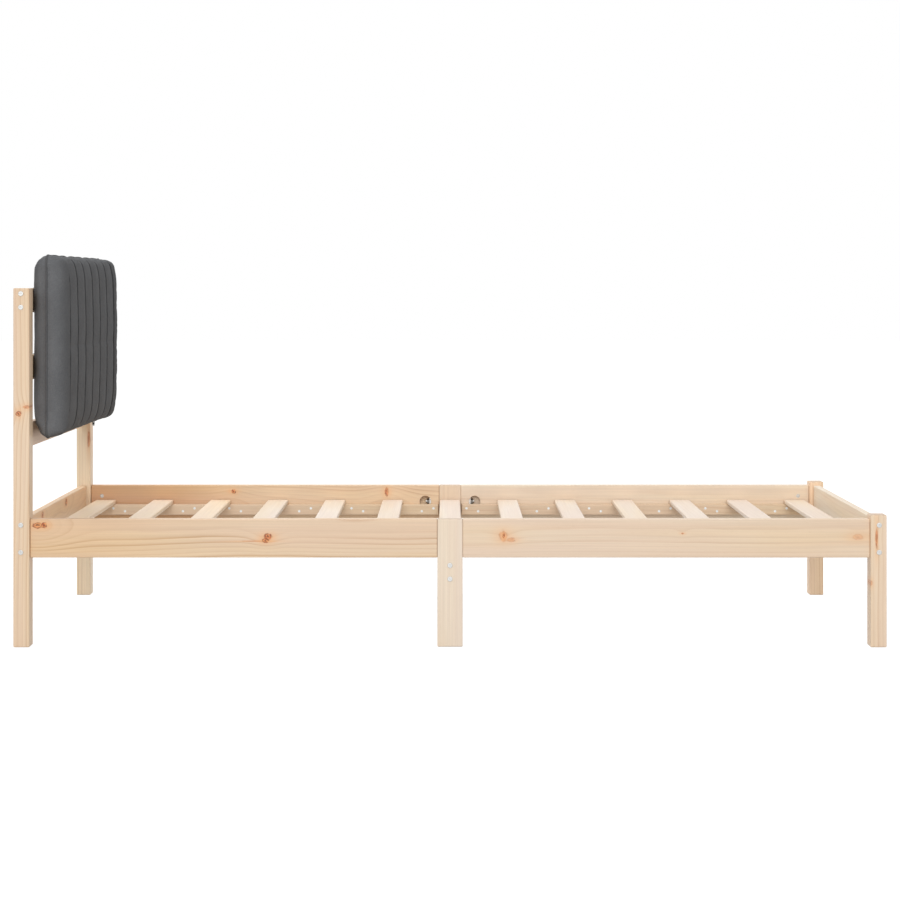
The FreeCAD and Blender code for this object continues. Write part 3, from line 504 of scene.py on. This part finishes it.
pad_mesh = boards["cushion_core"].data.copy()
cushion = bpy.data.objects.new("headboard_cushion", pad_mesh)
bpy.context.scene.collection.objects.link(cushion)
edit(cushion, "SELECT")
bpy.ops.mesh.remove_doubles(threshold=0.00002)
leave()
half_cell = Vector((0, weave_cell / 2, 0))
pad_mesh.transform(Matrix.Translation(half_cell))
finish_with(cushion, "REMESH", mode="VOXEL", voxel_size=weave_cell)
cushion.data.transform(Matrix.Translation(-half_cell))
outward = [vertex.normal.copy() for vertex in cushion.data.vertices]
for vertex, normal in zip(cushion.data.vertices, outward):
    nearest = min(stitch_lines, key=lambda line: abs(line - vertex.co.y))
    if normal.x > 0.05 and abs(nearest - vertex.co.y) < weave_cell * 0.35:
        vertex.co.y = nearest
    vertex.co += normal * cloth_offset

back_low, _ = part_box("cushion_back_cover")
cover_low, cover_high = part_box("cushion_front_cover")


def on_line(vertex, slack=0.0002):
    """Whether a point of the cover lies on one of the lines of stitching in front of the seam."""
    return vertex.co.x > seam_x and min(abs(line - vertex.co.y) for line in stitch_lines) < slack


def by_seam(vertex):
    """Whether a point of the cover lies in the narrow band that is sewn into the seam."""
    edge = max(abs(vertex.co.y) - (pipe_high.y - seam_band),
               abs(vertex.co.z - pipe_middle_z) - ((pipe_high.z - pipe_low.z) / 2 - seam_band))
    return abs(vertex.co.x - seam_x) < weave_cell and edge > 0


sewn = cushion.vertex_groups.new(name="sewn")
held = [vertex.index for vertex in cushion.data.vertices if on_line(vertex) or by_seam(vertex)]
sewn.add(held, 1.0, "REPLACE")
start = [vertex.co.copy() for vertex in cushion.data.vertices]
pick(cushion)
swelling = cushion.modifiers.new("swelling", "CLOTH")
swelling.settings.vertex_group_mass = sewn.name
swelling.settings.use_pressure = True
swelling.settings.uniform_pressure_force = 4.0
swelling.settings.effector_weights.gravity = 0.0
swelling.settings.shrink_min = -0.012
swelling.collision_settings.use_collision = False
for moment in range(1, 21):
    bpy.context.scene.frame_set(moment)
bpy.ops.object.modifier_apply(modifier=swelling.name)
bpy.context.scene.frame_set(1)
for vertex, place in zip(cushion.data.vertices, start):
    move = vertex.co - place
    if move.length > swell_cap:
        vertex.co = place + move * (swell_cap / move.length)

for vertex in cushion.data.vertices:
    vertex.co.x = max(vertex.co.x, back_low.x)
    to_top = max(cover_high.z - vertex.co.z, 0)
    to_bottom = max(vertex.co.z - cover_low.z, 0)
    vertex.co.z -= dip(vertex.co.y) * math.exp(-to_top / dip_width)
    vertex.co.z += dip(vertex.co.y) * math.exp(-to_bottom / dip_width)

outward = [vertex.normal.copy() for vertex in cushion.data.vertices]
rows = collections.defaultdict(list)
for vertex, normal in zip(cushion.data.vertices, outward):
    if normal.x > 0.4:
        rows[round(vertex.co.z / weave_cell)].append((vertex, min((normal.x - 0.4) / 0.4, 1.0)))
places_by_row = collections.defaultdict(list)
for number, row in rows.items():
    places_by_row[number] = [(vertex.co.y, vertex.co.x) for vertex, _ in row]
for number, row in rows.items():
    swells = places_by_row[number - 1] + places_by_row[number] + places_by_row[number + 1]
    raised_to = [max(x for y, x in swells if abs(y - vertex.co.y) < stitch_pitch * 0.6) for vertex, _ in row]
    for (vertex, share), crest in zip(row, raised_to):
        past_lines = max(abs(vertex.co.y) - stitch_lines[-1], 0) / crest_fade
        share *= max(1.0 - past_lines, 0.0)
        vertex.co.x += ((crest - vertex.co.x) * (1.0 - channel_depth_share) - front_set_back) * share

edge_middle = pipe_low.y + pipe_radius + edge_round
for vertex in cushion.data.vertices:
    out = (vertex.co.x - seam_x) / edge_depth
    side = (edge_middle - vertex.co.y) / edge_round
    if out > 0 and side > 0 and math.hypot(out, side) > 1:
        pull = edge_ease * (1 / math.hypot(out, side) - 1)
        vertex.co.x += (vertex.co.x - seam_x) * pull
        vertex.co.y += (vertex.co.y - edge_middle) * pull


def corner_out(vertex):
    """How far a point lies beyond the middle of a seam corner's curve, along the cushion and upright."""
    return (abs(vertex.co.y) - (pipe_half_y - pipe_corner),
            abs(vertex.co.z - pipe_middle_z) - (pipe_half_z - pipe_corner))


by_corner = collections.defaultdict(list)
for vertex in cushion.data.vertices:
    along, up = corner_out(vertex)
    if along > 0 and up > 0:
        by_corner[vertex.co.y > 0, vertex.co.z > pipe_middle_z].append((vertex, along, up))
for points in by_corner.values():
    seam = [(math.atan2(up, along), math.hypot(along, up)) for vertex, along, up in points
            if abs(vertex.co.x - seam_x) < weave_cell]
    for vertex, along, up in points:
        angle = math.atan2(up, along)
        weights = [math.exp(-((angle - other) / corner_blend) ** 2) for other, _ in seam]
        reach = sum(weight * far for weight, (_, far) in zip(weights, seam)) / sum(weights)
        drawn_to = pipe_corner + ear_out * math.sin(2 * angle) ** 2
        pull = max(drawn_to / reach - 1, 0) * math.exp(-((vertex.co.x - seam_x) / corner_pull_depth) ** 2)
        vertex.co.y += math.copysign(along * pull, vertex.co.y)
        vertex.co.z += math.copysign(up * pull, vertex.co.z - pipe_middle_z)

outward = [vertex.normal.copy() for vertex in cushion.data.vertices]
thread_runs = []
for line in stitch_lines:
    run = [(vertex.co.copy(), normal) for vertex, normal in zip(cushion.data.vertices, outward)
           if on_line(vertex) and abs(vertex.co.y - line) < weave_cell]
    run.sort(key=lambda point: math.atan2(point[0].z - pipe_middle_z, point[0].x - seam_x))
    thread_runs.append(run)

edit(cushion)
bpy.ops.mesh.select_mode(type="EDGE")
leave()
for edge in cushion.data.edges:
    edge.select = all(on_line(cushion.data.vertices[end]) for end in edge.vertices)
pick(cushion)
bpy.ops.object.mode_set(mode="EDIT")
bpy.ops.mesh.bevel(offset=stitch_half_width, segments=2, affect="EDGES")
leave()
outward = [vertex.normal.copy() for vertex in cushion.data.vertices]
for vertex, normal in zip(cushion.data.vertices, outward):
    if on_line(vertex):
        vertex.co -= normal * stitch_sink
finish_with(cushion, "SUBSURF", levels=1, render_levels=1)
for vertex in cushion.data.vertices:
    beside = slider_low.x - slider_room < vertex.co.x < slider_high.x + 3 * slider_room
    if beside and abs(vertex.co.y) < slider_high.y + 4 * slider_room and vertex.co.z < pipe_middle_z:
        vertex.co.z = max(vertex.co.z, slider_high.z + slider_room)
pick(cushion)
bpy.ops.object.shade_smooth()
# Painted shade: the cloth is darkened in a band either side of each line of stitching, darkest on the line.
crease_shade_colour = colour(32, 32, 33)
painted_crease_shade = cushion.data.attributes.new("painted_crease_shade", "FLOAT", "POINT")
for vertex, shadow in zip(cushion.data.vertices, painted_crease_shade.data):
    off_line = min(abs(line - vertex.co.y) for line in stitch_lines)
    shadow.value = max(0.0, 1.0 - off_line / crease_shade_reach) if vertex.co.x > seam_x + pipe_radius else 0.0


def woven(name, shade, light, thread):
    """Plain weave square to each face, with a faint fleck in the yarn.

    It is darkened as painted shade in the creases by the stitching, and made paler as painted light on the
    faces turned to the cushion's ends.
    """
    finish, tree, shader = plain_finish(name)
    place = tree.nodes.new("ShaderNodeTexCoord").outputs["Object"]
    facing = parts_of(tree, tree.nodes.new("ShaderNodeNewGeometry").outputs["Normal"])
    spot = parts_of(tree, place)
    waves = [calc(tree, "SINE", calc(tree, "MULTIPLY", spot[axis], math.pi / thread)) for axis in range(3)]
    crossing = 0.0
    for axis in range(3):
        first, second = [waves[other] for other in range(3) if other != axis]
        weight = calc(tree, "POWER", calc(tree, "ABSOLUTE", facing[axis]), 2.0)
        over_under = calc(tree, "MULTIPLY", first, second)
        crossing = total(tree, crossing, calc(tree, "MULTIPLY", over_under, weight))
    height = calc(tree, "MULTIPLY_ADD", crossing, 0.5, 0.5)
    fleck = cloud(tree, place, (700.0, 700.0, 700.0), 3.0, 2.0)[0]
    drift = cloud(tree, place, (14.0, 14.0, 14.0), 8.0, 3.0)[0]
    cloth = mixed(tree, span(tree, fleck, 0.35, 0.68), shade, light)
    cloth = mixed(tree, calc(tree, "MULTIPLY", height, 0.22), cloth, light)
    # Painted light: the faces turned to the cushion's ends are made up to a fifth paler.
    painted_side_light = span(tree, calc(tree, "ABSOLUTE", facing[1]), 0.35, 0.95, 1.0, 1.2)
    tone = calc(tree, "MULTIPLY", span(tree, drift, 0.3, 0.7, 0.92, 1.06), painted_side_light)
    cloth = mixed(tree, 1.0, cloth, vector_of(tree, tone, tone, tone), "MULTIPLY")
    # The painted crease shade is mixed into the cloth here.
    crease_shade_paint = tree.nodes.new("ShaderNodeAttribute")
    crease_shade_paint.attribute_name = "painted_crease_shade"
    shadow = calc(tree, "MULTIPLY", calc(tree, "POWER", crease_shade_paint.outputs["Fac"], 0.9), 0.97)
    tree.links.new(mixed(tree, shadow, cloth, crease_shade_colour), shader["Base Color"])
    feed(tree, shader["Roughness"], span(tree, fleck, 0.2, 0.8, 0.82, 0.95))
    feed(tree, shader["Specular IOR Level"], 0.1)
    raised(tree, shader, height, 0.0003, 0.5)
    return finish


grey_cloth = woven("grey_woven_cloth", colour(88, 89, 91), colour(105, 106, 108), 0.0011)
cushion.data.materials.clear()
cushion.data.materials.append(grey_cloth)
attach(cushion, "bed")
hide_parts("cushion_core", "cushion_front_cover", "cushion_back_cover")

# Piping: a cord wrapped in the cover's own cloth and sewn into the seam all the way round.
# The stitching pulls it in a little at each channel, and it stands up at the four corners.

pipe_step = 0.006
corner_steps = 9


def pipe_route():
    """Points round the seam, with the dips at the stitching and the raised corners."""
    points = []
    for side_y, side_z, first in ((1, 1, "up"), (-1, 1, "across"), (-1, -1, "up"), (1, -1, "across")):
        centre = Vector((seam_x, side_y * (pipe_half_y - pipe_corner),
                         pipe_middle_z + side_z * (pipe_half_z - pipe_corner)))
        for step in range(corner_steps + 1):
            share = step / corner_steps
            angle = math.atan2(side_z, side_y) - math.pi / 4 + share * math.pi / 2
            out = pipe_corner + ear_out * math.sin(share * math.pi) ** 2
            points.append(centre + Vector((0, math.cos(angle), math.sin(angle))) * out)
        if first == "up":
            count = int(2 * (pipe_half_y - pipe_corner) / pipe_step)
            for step in range(1, count):
                y = side_y * (pipe_half_y - pipe_corner) * (1 - 2 * step / count)
                points.append(Vector((seam_x, y, pipe_middle_z + side_z * (pipe_half_z - dip(y)))))
    return points


pipe_curve = bpy.data.curves.new("cushion_piping_cord", "CURVE")
pipe_curve.dimensions = "3D"
pipe_curve.bevel_depth = pipe_radius
pipe_curve.bevel_resolution = 3
pipe_line = pipe_curve.splines.new("NURBS")
route = pipe_route()
pipe_line.points.add(len(route) - 1)
for knot, place in zip(pipe_line.points, route):
    knot.co = (*place, 1.0)
pipe_line.order_u = 3
pipe_line.resolution_u = 2
pipe_line.use_cyclic_u = True
piping = bpy.data.objects.new("cushion_piping_cord", pipe_curve)
bpy.context.scene.collection.objects.link(piping)
pick(piping)
bpy.ops.object.convert(target="MESH")
piping = bpy.context.view_layer.objects.active
bpy.ops.object.shade_smooth()
piping.data.materials.clear()
# The piping's cloth is painted darker than the cover's, as shade along the seam.
piping.data.materials.append(woven("grey_piping_cloth_darkened_as_shade", colour(76, 76, 77), colour(92, 92, 93), 0.0009))
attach(piping, "bed")
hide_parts("cushion_piping")

# Channel stitching: a row of single stitches at the bottom of each crease between two channels.
# It is sewn through the cover with dark polyester thread.

stitch_length = 0.0032
stitch_gap = 0.0012
thread_radius = 0.00045


def copies(name, pattern, places):
    """One mesh of a pattern repeated at many places, each copy with its own faces."""
    spots, faces = [], []
    for place in places:
        first = len(spots)
        spots += [place @ vertex.co for vertex in pattern.data.vertices]
        faces += [[first + corner for corner in face.vertices] for face in pattern.data.polygons]
    mesh = bpy.data.meshes.new(name)
    mesh.from_pydata(spots, [], faces)
    piece = bpy.data.objects.new(name, mesh)
    bpy.context.scene.collection.objects.link(piece)
    bpy.data.objects.remove(pattern)
    pick(piece)
    bpy.ops.object.shade_smooth()
    return piece


bpy.ops.object.select_all(action="DESELECT")
bpy.ops.mesh.primitive_cylinder_add(vertices=6, radius=thread_radius, depth=stitch_length * 0.6)
stitch = bpy.context.view_layer.objects.active
for end in (-1, 1):
    edit(stitch)
    bpy.ops.mesh.select_mode(type="FACE")
    leave()
    for face in stitch.data.polygons:
        face.select = face.normal.z * end > 0.9
    bpy.ops.object.mode_set(mode="EDIT")
    bpy.ops.mesh.extrude_region_move(TRANSFORM_OT_translate={"value": (0, 0, end * stitch_length * 0.2)})
    bpy.ops.transform.resize(value=(0.4, 0.4, 1.0))
    leave()

stitch_places = []
for run in thread_runs:
    travelled = 0.0
    for (here, normal), (there, _) in zip(run, run[1:]):
        step = there - here
        while travelled < step.length:
            spot = here + step * (travelled / step.length) - normal * (stitch_sink * 0.75)
            side = step.normalized()
            turn = side.to_track_quat("Z", "X").to_matrix().to_4x4()
            stitch_places.append(Matrix.Translation(spot) @ turn)
            travelled += stitch_length + stitch_gap
        travelled -= step.length
stitching = copies("channel_stitching", stitch, stitch_places)
thread, thread_tree, thread_shader = plain_finish("dark_thread")
thread_place = thread_tree.nodes.new("ShaderNodeTexCoord").outputs["Object"]
twist = cloud(thread_tree, thread_place, (900.0, 900.0, 2600.0), 4.0, 2.0)[0]
thread_tree.links.new(mixed(thread_tree, span(thread_tree, twist, 0.35, 0.65), colour(44, 44, 45),
                            colour(62, 62, 63)), thread_shader["Base Color"])
feed(thread_tree, thread_shader["Roughness"], span(thread_tree, twist, 0.3, 0.7, 0.6, 0.8))
raised(thread_tree, thread_shader, twist, 0.0001, 0.5)
stitching.data.materials.append(thread)
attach(stitching, "bed")

# Hanging straps: four loops of black hook-and-loop webbing round the top and mid headboard rails.
# Each loop is closed behind the rail, where its end is pressed down over the first turn.

strap_thickness = 0.0016
strap_width = 0.038
strap_round = 0.0028
strap_play = 0.0003
strap_tail_share = 0.6
_, strap_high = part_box("cushion_straps")
strap_y = strap_high.y - strap_width / 2
webbing_pieces = []
for rail in ("headboard_mid_rail", "headboard_top_rail"):
    rail_low, rail_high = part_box(rail)
    middle = (rail_low + rail_high) / 2
    play = strap_play + strap_thickness / 2
    for side in (-1, 1):
        bpy.ops.object.select_all(action="DESELECT")
        bpy.ops.mesh.primitive_cube_add(size=1.0, location=(middle.x, side * strap_y, middle.z))
        loop = bpy.context.view_layer.objects.active
        loop.scale = (rail_high.x - rail_low.x + 2 * play, strap_width, rail_high.z - rail_low.z + 2 * play)
        bpy.ops.object.transform_apply(location=True, rotation=True, scale=True)
        edit(loop)
        bpy.ops.mesh.select_mode(type="FACE")
        leave()
        for face in loop.data.polygons:
            face.select = abs(face.normal.y) > 0.9
        bpy.ops.object.mode_set(mode="EDIT")
        bpy.ops.mesh.delete(type="ONLY_FACE")
        bpy.ops.mesh.select_mode(type="EDGE")
        bpy.ops.mesh.select_all(action="DESELECT")
        leave()
        for edge in loop.data.edges:
            ends = [loop.data.vertices[end].co for end in edge.vertices]
            edge.select = abs(ends[0].y - ends[1].y) > strap_width / 2
        bpy.ops.object.mode_set(mode="EDIT")
        bpy.ops.mesh.bevel(offset=strap_round, segments=4, affect="EDGES")
        leave()
        tail_x = rail_low.x - play - strap_thickness
        tail_half = (rail_high.z - rail_low.z) / 2 * strap_tail_share
        bpy.ops.object.select_all(action="DESELECT")
        bpy.ops.mesh.primitive_grid_add(x_subdivisions=8, y_subdivisions=12, size=1.0,
                                        location=(tail_x, side * strap_y, middle.z),
                                        rotation=(0, -math.pi / 2, 0))
        tail = bpy.context.view_layer.objects.active
        tail.scale = (2 * tail_half, strap_width, 1.0)
        bpy.ops.object.transform_apply(location=True, rotation=True, scale=True)
        loop.select_set(True)
        bpy.context.view_layer.objects.active = loop
        bpy.ops.object.join()
        finish_with(loop, "SOLIDIFY", thickness=strap_thickness * 0.92, offset=0.0)
        finish_with(loop, "BEVEL", width=0.0004, segments=2, limit_method="ANGLE")
        webbing_pieces.append(loop)
straps = webbing_pieces[0]
bpy.ops.object.select_all(action="DESELECT")
for loop in webbing_pieces:
    loop.select_set(True)
bpy.context.view_layer.objects.active = straps
bpy.ops.object.join()
straps.name = "cushion_hanging_straps"
bpy.ops.object.shade_smooth_by_angle(angle=math.radians(40))
webbing, web_tree, web_shader = plain_finish("black_webbing_weave")
web_place = web_tree.nodes.new("ShaderNodeTexCoord").outputs["Object"]
web_spot = parts_of(web_tree, web_place)
web_rib = calc(web_tree, "MULTIPLY_ADD", calc(web_tree, "MULTIPLY", calc(
    web_tree, "SINE", calc(web_tree, "MULTIPLY", web_spot[1], math.pi / 0.0016)), calc(
    web_tree, "SINE", calc(web_tree, "MULTIPLY", web_spot[2], math.pi / 0.0011))), 0.5, 0.5)
web_fuzz = cloud(web_tree, web_place, (1500.0, 1500.0, 1500.0), 6.0, 2.0)[0]
web_tree.links.new(mixed(web_tree, calc(web_tree, "MULTIPLY", web_rib, web_fuzz), colour(26, 26, 27),
                         colour(58, 58, 60)), web_shader["Base Color"])
feed(web_tree, web_shader["Roughness"], span(web_tree, web_fuzz, 0.3, 0.7, 0.7, 0.9))
raised(web_tree, web_shader, web_rib, 0.0003)
straps.data.materials.clear()
straps.data.materials.append(webbing)
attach(straps, "bed")
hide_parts("cushion_straps")

# Zip under the cushion: two woven tapes with a row of moulded teeth each, closed by a black slider.
# The tapes are sewn inside the slit. The slider runs along the teeth and carries a swinging pull.

tape_low, tape_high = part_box("zip_tapes")
zip_x = (tape_low.x + tape_high.x) / 2
zip_gap = 0.0007
tape_thickness = 0.0006
tooth_pitch = 0.0024
tooth_size = (0.0015, 0.0013, 0.0019)
tooth_end_gap = 0.005
tapes = []
for way in (-1, 1):
    bpy.ops.object.select_all(action="DESELECT")
    inner = zip_x + way * zip_gap
    outer = tape_high.x if way > 0 else tape_low.x
    bpy.ops.mesh.primitive_grid_add(x_subdivisions=4, y_subdivisions=120, size=1.0,
                                    location=((inner + outer) / 2, 0, tape_high.z - tape_thickness / 2))
    tape = bpy.context.view_layer.objects.active
    tape.scale = (abs(outer - inner), tape_high.y - tape_low.y, 1.0)
    bpy.ops.object.transform_apply(location=True, rotation=True, scale=True)
    finish_with(tape, "SOLIDIFY", thickness=tape_thickness, offset=0.0)
    tapes.append(tape)
bpy.ops.object.select_all(action="DESELECT")
for tape in tapes:
    tape.select_set(True)
bpy.context.view_layer.objects.active = tapes[0]
bpy.ops.object.join()
zip_tape = tapes[0]
zip_tape.name = "zip_tape_pair"
zip_tape.data.materials.clear()
zip_tape.data.materials.append(webbing)
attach(zip_tape, "bed")
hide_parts("zip_tapes")

bpy.ops.object.select_all(action="DESELECT")
bpy.ops.mesh.primitive_cube_add(size=1.0)
tooth = bpy.context.view_layer.objects.active
tooth.scale = tooth_size
bpy.ops.object.transform_apply(location=True, rotation=True, scale=True)
finish_with(tooth, "BEVEL", width=0.0003, segments=1)
tooth_z = tape_low.z + tooth_size[2] / 2
tooth_count = int((tape_high.y - tape_low.y - 2 * tooth_end_gap) / tooth_pitch)
tooth_places = []
for way in (-1, 1):
    for step in range(tooth_count):
        y = tape_low.y + tooth_end_gap + (step + 0.25 + 0.25 * way) * tooth_pitch
        tooth_places.append(Matrix.Translation((zip_x + way * (zip_gap + tooth_size[0] / 2), y, tooth_z)))
teeth = copies("zip_teeth", tooth, tooth_places)
teeth.data.materials.append(plated("black_zip_teeth", colour(34, 34, 35), 0.38, 0.0))
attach(teeth, "bed")

black_enamel = plated("black_enamel", colour(26, 26, 27), 0.3, 0.0)
dress("zip_slider", black_enamel)
dress("zip_stops", plated("black_stop_metal", colour(40, 40, 41), 0.35, 1.0))
pull_low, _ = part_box("zip_pull")
tip_height = 0.0045
pull_finish, pull_tree, pull_shader = plain_finish("pull_black_with_bare_tip")
pull_spot = parts_of(pull_tree, pull_tree.nodes.new("ShaderNodeTexCoord").outputs["Object"])
bare = span(pull_tree, pull_spot[2], pull_low.z + tip_height, pull_low.z + tip_height * 0.8)
pull_shade = mixed(pull_tree, bare, colour(28, 28, 29), colour(206, 206, 204))
pull_tree.links.new(pull_shade, pull_shader["Base Color"])
feed(pull_tree, pull_shader["Metallic"], bare)
feed(pull_tree, pull_shader["Roughness"], span(pull_tree, bare, 0.0, 1.0, 0.35, 0.28))
dress("zip_pull", pull_finish)

# Studio: a white paper floor and a white backdrop that light the bed evenly.
# One broad soft lamp stands far off in front, and one hangs high behind the head end.

floor_size = 60.0
bpy.ops.object.select_all(action="DESELECT")
bpy.ops.mesh.primitive_plane_add(size=floor_size, location=(0, 0, -0.0005))
floor = bpy.context.view_layer.objects.active
floor.name = "studio_floor"
white, white_tree, _ = plain_finish("white_floor")
white_tree.nodes.remove(white_tree.nodes["Principled BSDF"])
ray = white_tree.nodes.new("ShaderNodeLightPath").outputs
seen = calc(white_tree, "MINIMUM", total(white_tree, ray["Is Camera Ray"], ray["Is Glossy Ray"],
                                         ray["Is Transmission Ray"]), 1.0)
paper = white_tree.nodes.new("ShaderNodeBsdfDiffuse")
floor_place = white_tree.nodes.new("ShaderNodeTexCoord").outputs["Object"]
grain = cloud(white_tree, floor_place, (3.0, 3.0, 3.0), 1.0)[0]
tone = span(white_tree, grain, 0.0, 1.0, 0.60, 0.62)
white_tree.links.new(vector_of(white_tree, tone, tone, tone), paper.inputs["Color"])
dim_paper = white_tree.nodes.new("ShaderNodeBsdfDiffuse")
dim_paper.inputs["Color"].default_value = (0.38, 0.38, 0.38, 1.0)
glow = white_tree.nodes.new("ShaderNodeEmission")
glow.inputs["Strength"].default_value = 0.84
lit = white_tree.nodes.new("ShaderNodeAddShader")
white_tree.links.new(dim_paper.outputs[0], lit.inputs[0])
white_tree.links.new(glow.outputs[0], lit.inputs[1])
either = white_tree.nodes.new("ShaderNodeMixShader")
white_tree.links.new(seen, either.inputs[0])
white_tree.links.new(paper.outputs[0], either.inputs[1])
white_tree.links.new(lit.outputs[0], either.inputs[2])
white_tree.links.new(either.outputs[0], white_tree.nodes["Material Output"].inputs["Surface"])
floor.data.materials.append(white)

world = bpy.data.worlds.new("white_studio")
bpy.context.scene.world = world
world.use_nodes = True
sky = world.node_tree
sky_ray = sky.nodes.new("ShaderNodeLightPath").outputs
sky_seen = calc(sky, "MINIMUM", total(sky, sky_ray["Is Camera Ray"], sky_ray["Is Glossy Ray"],
                                      sky_ray["Is Transmission Ray"]), 1.0)
sky.nodes["Background"].inputs["Color"].default_value = (1.0, 1.0, 1.0, 1.0)
feed(sky, sky.nodes["Background"].inputs["Strength"], calc(sky, "MULTIPLY_ADD", sky_seen, 0.45, 0.55))


def soft_lamp(name, place, aim, size, power):
    lamp = bpy.data.lights.new(name, "AREA")
    lamp.size = size
    lamp.energy = power
    holder = bpy.data.objects.new(name, lamp)
    bpy.context.scene.collection.objects.link(holder)
    holder.location = place
    holder.rotation_euler = (Vector(aim) - Vector(place)).to_track_quat("-Z", "Y").to_euler()


soft_lamp("top_lamp", (-1.4, 2.0, 4.4), (0, 0, 0.3), 3.2, 108)
soft_lamp("key_lamp", (-0.3, -14.0, 6.0), (0, 0, 0.4), 8.0, 1020)

# Camera: level and square to the long side, at the height of the headboard's top.
# It stands far off with a long lens.

camera_data = bpy.data.cameras.new("photo_camera")
camera_data.sensor_width = 36.0
camera_data.lens = 92.84
camera_data.shift_y = -0.1817
camera = bpy.data.objects.new("photo_camera", camera_data)
bpy.context.scene.collection.objects.link(camera)
camera.location = (0.0, -5.9468, 0.8489)
camera.rotation_euler = (math.pi / 2, 0, 0)
bpy.context.scene.camera = camera
bpy.context.scene.view_settings.view_transform = "Standard"
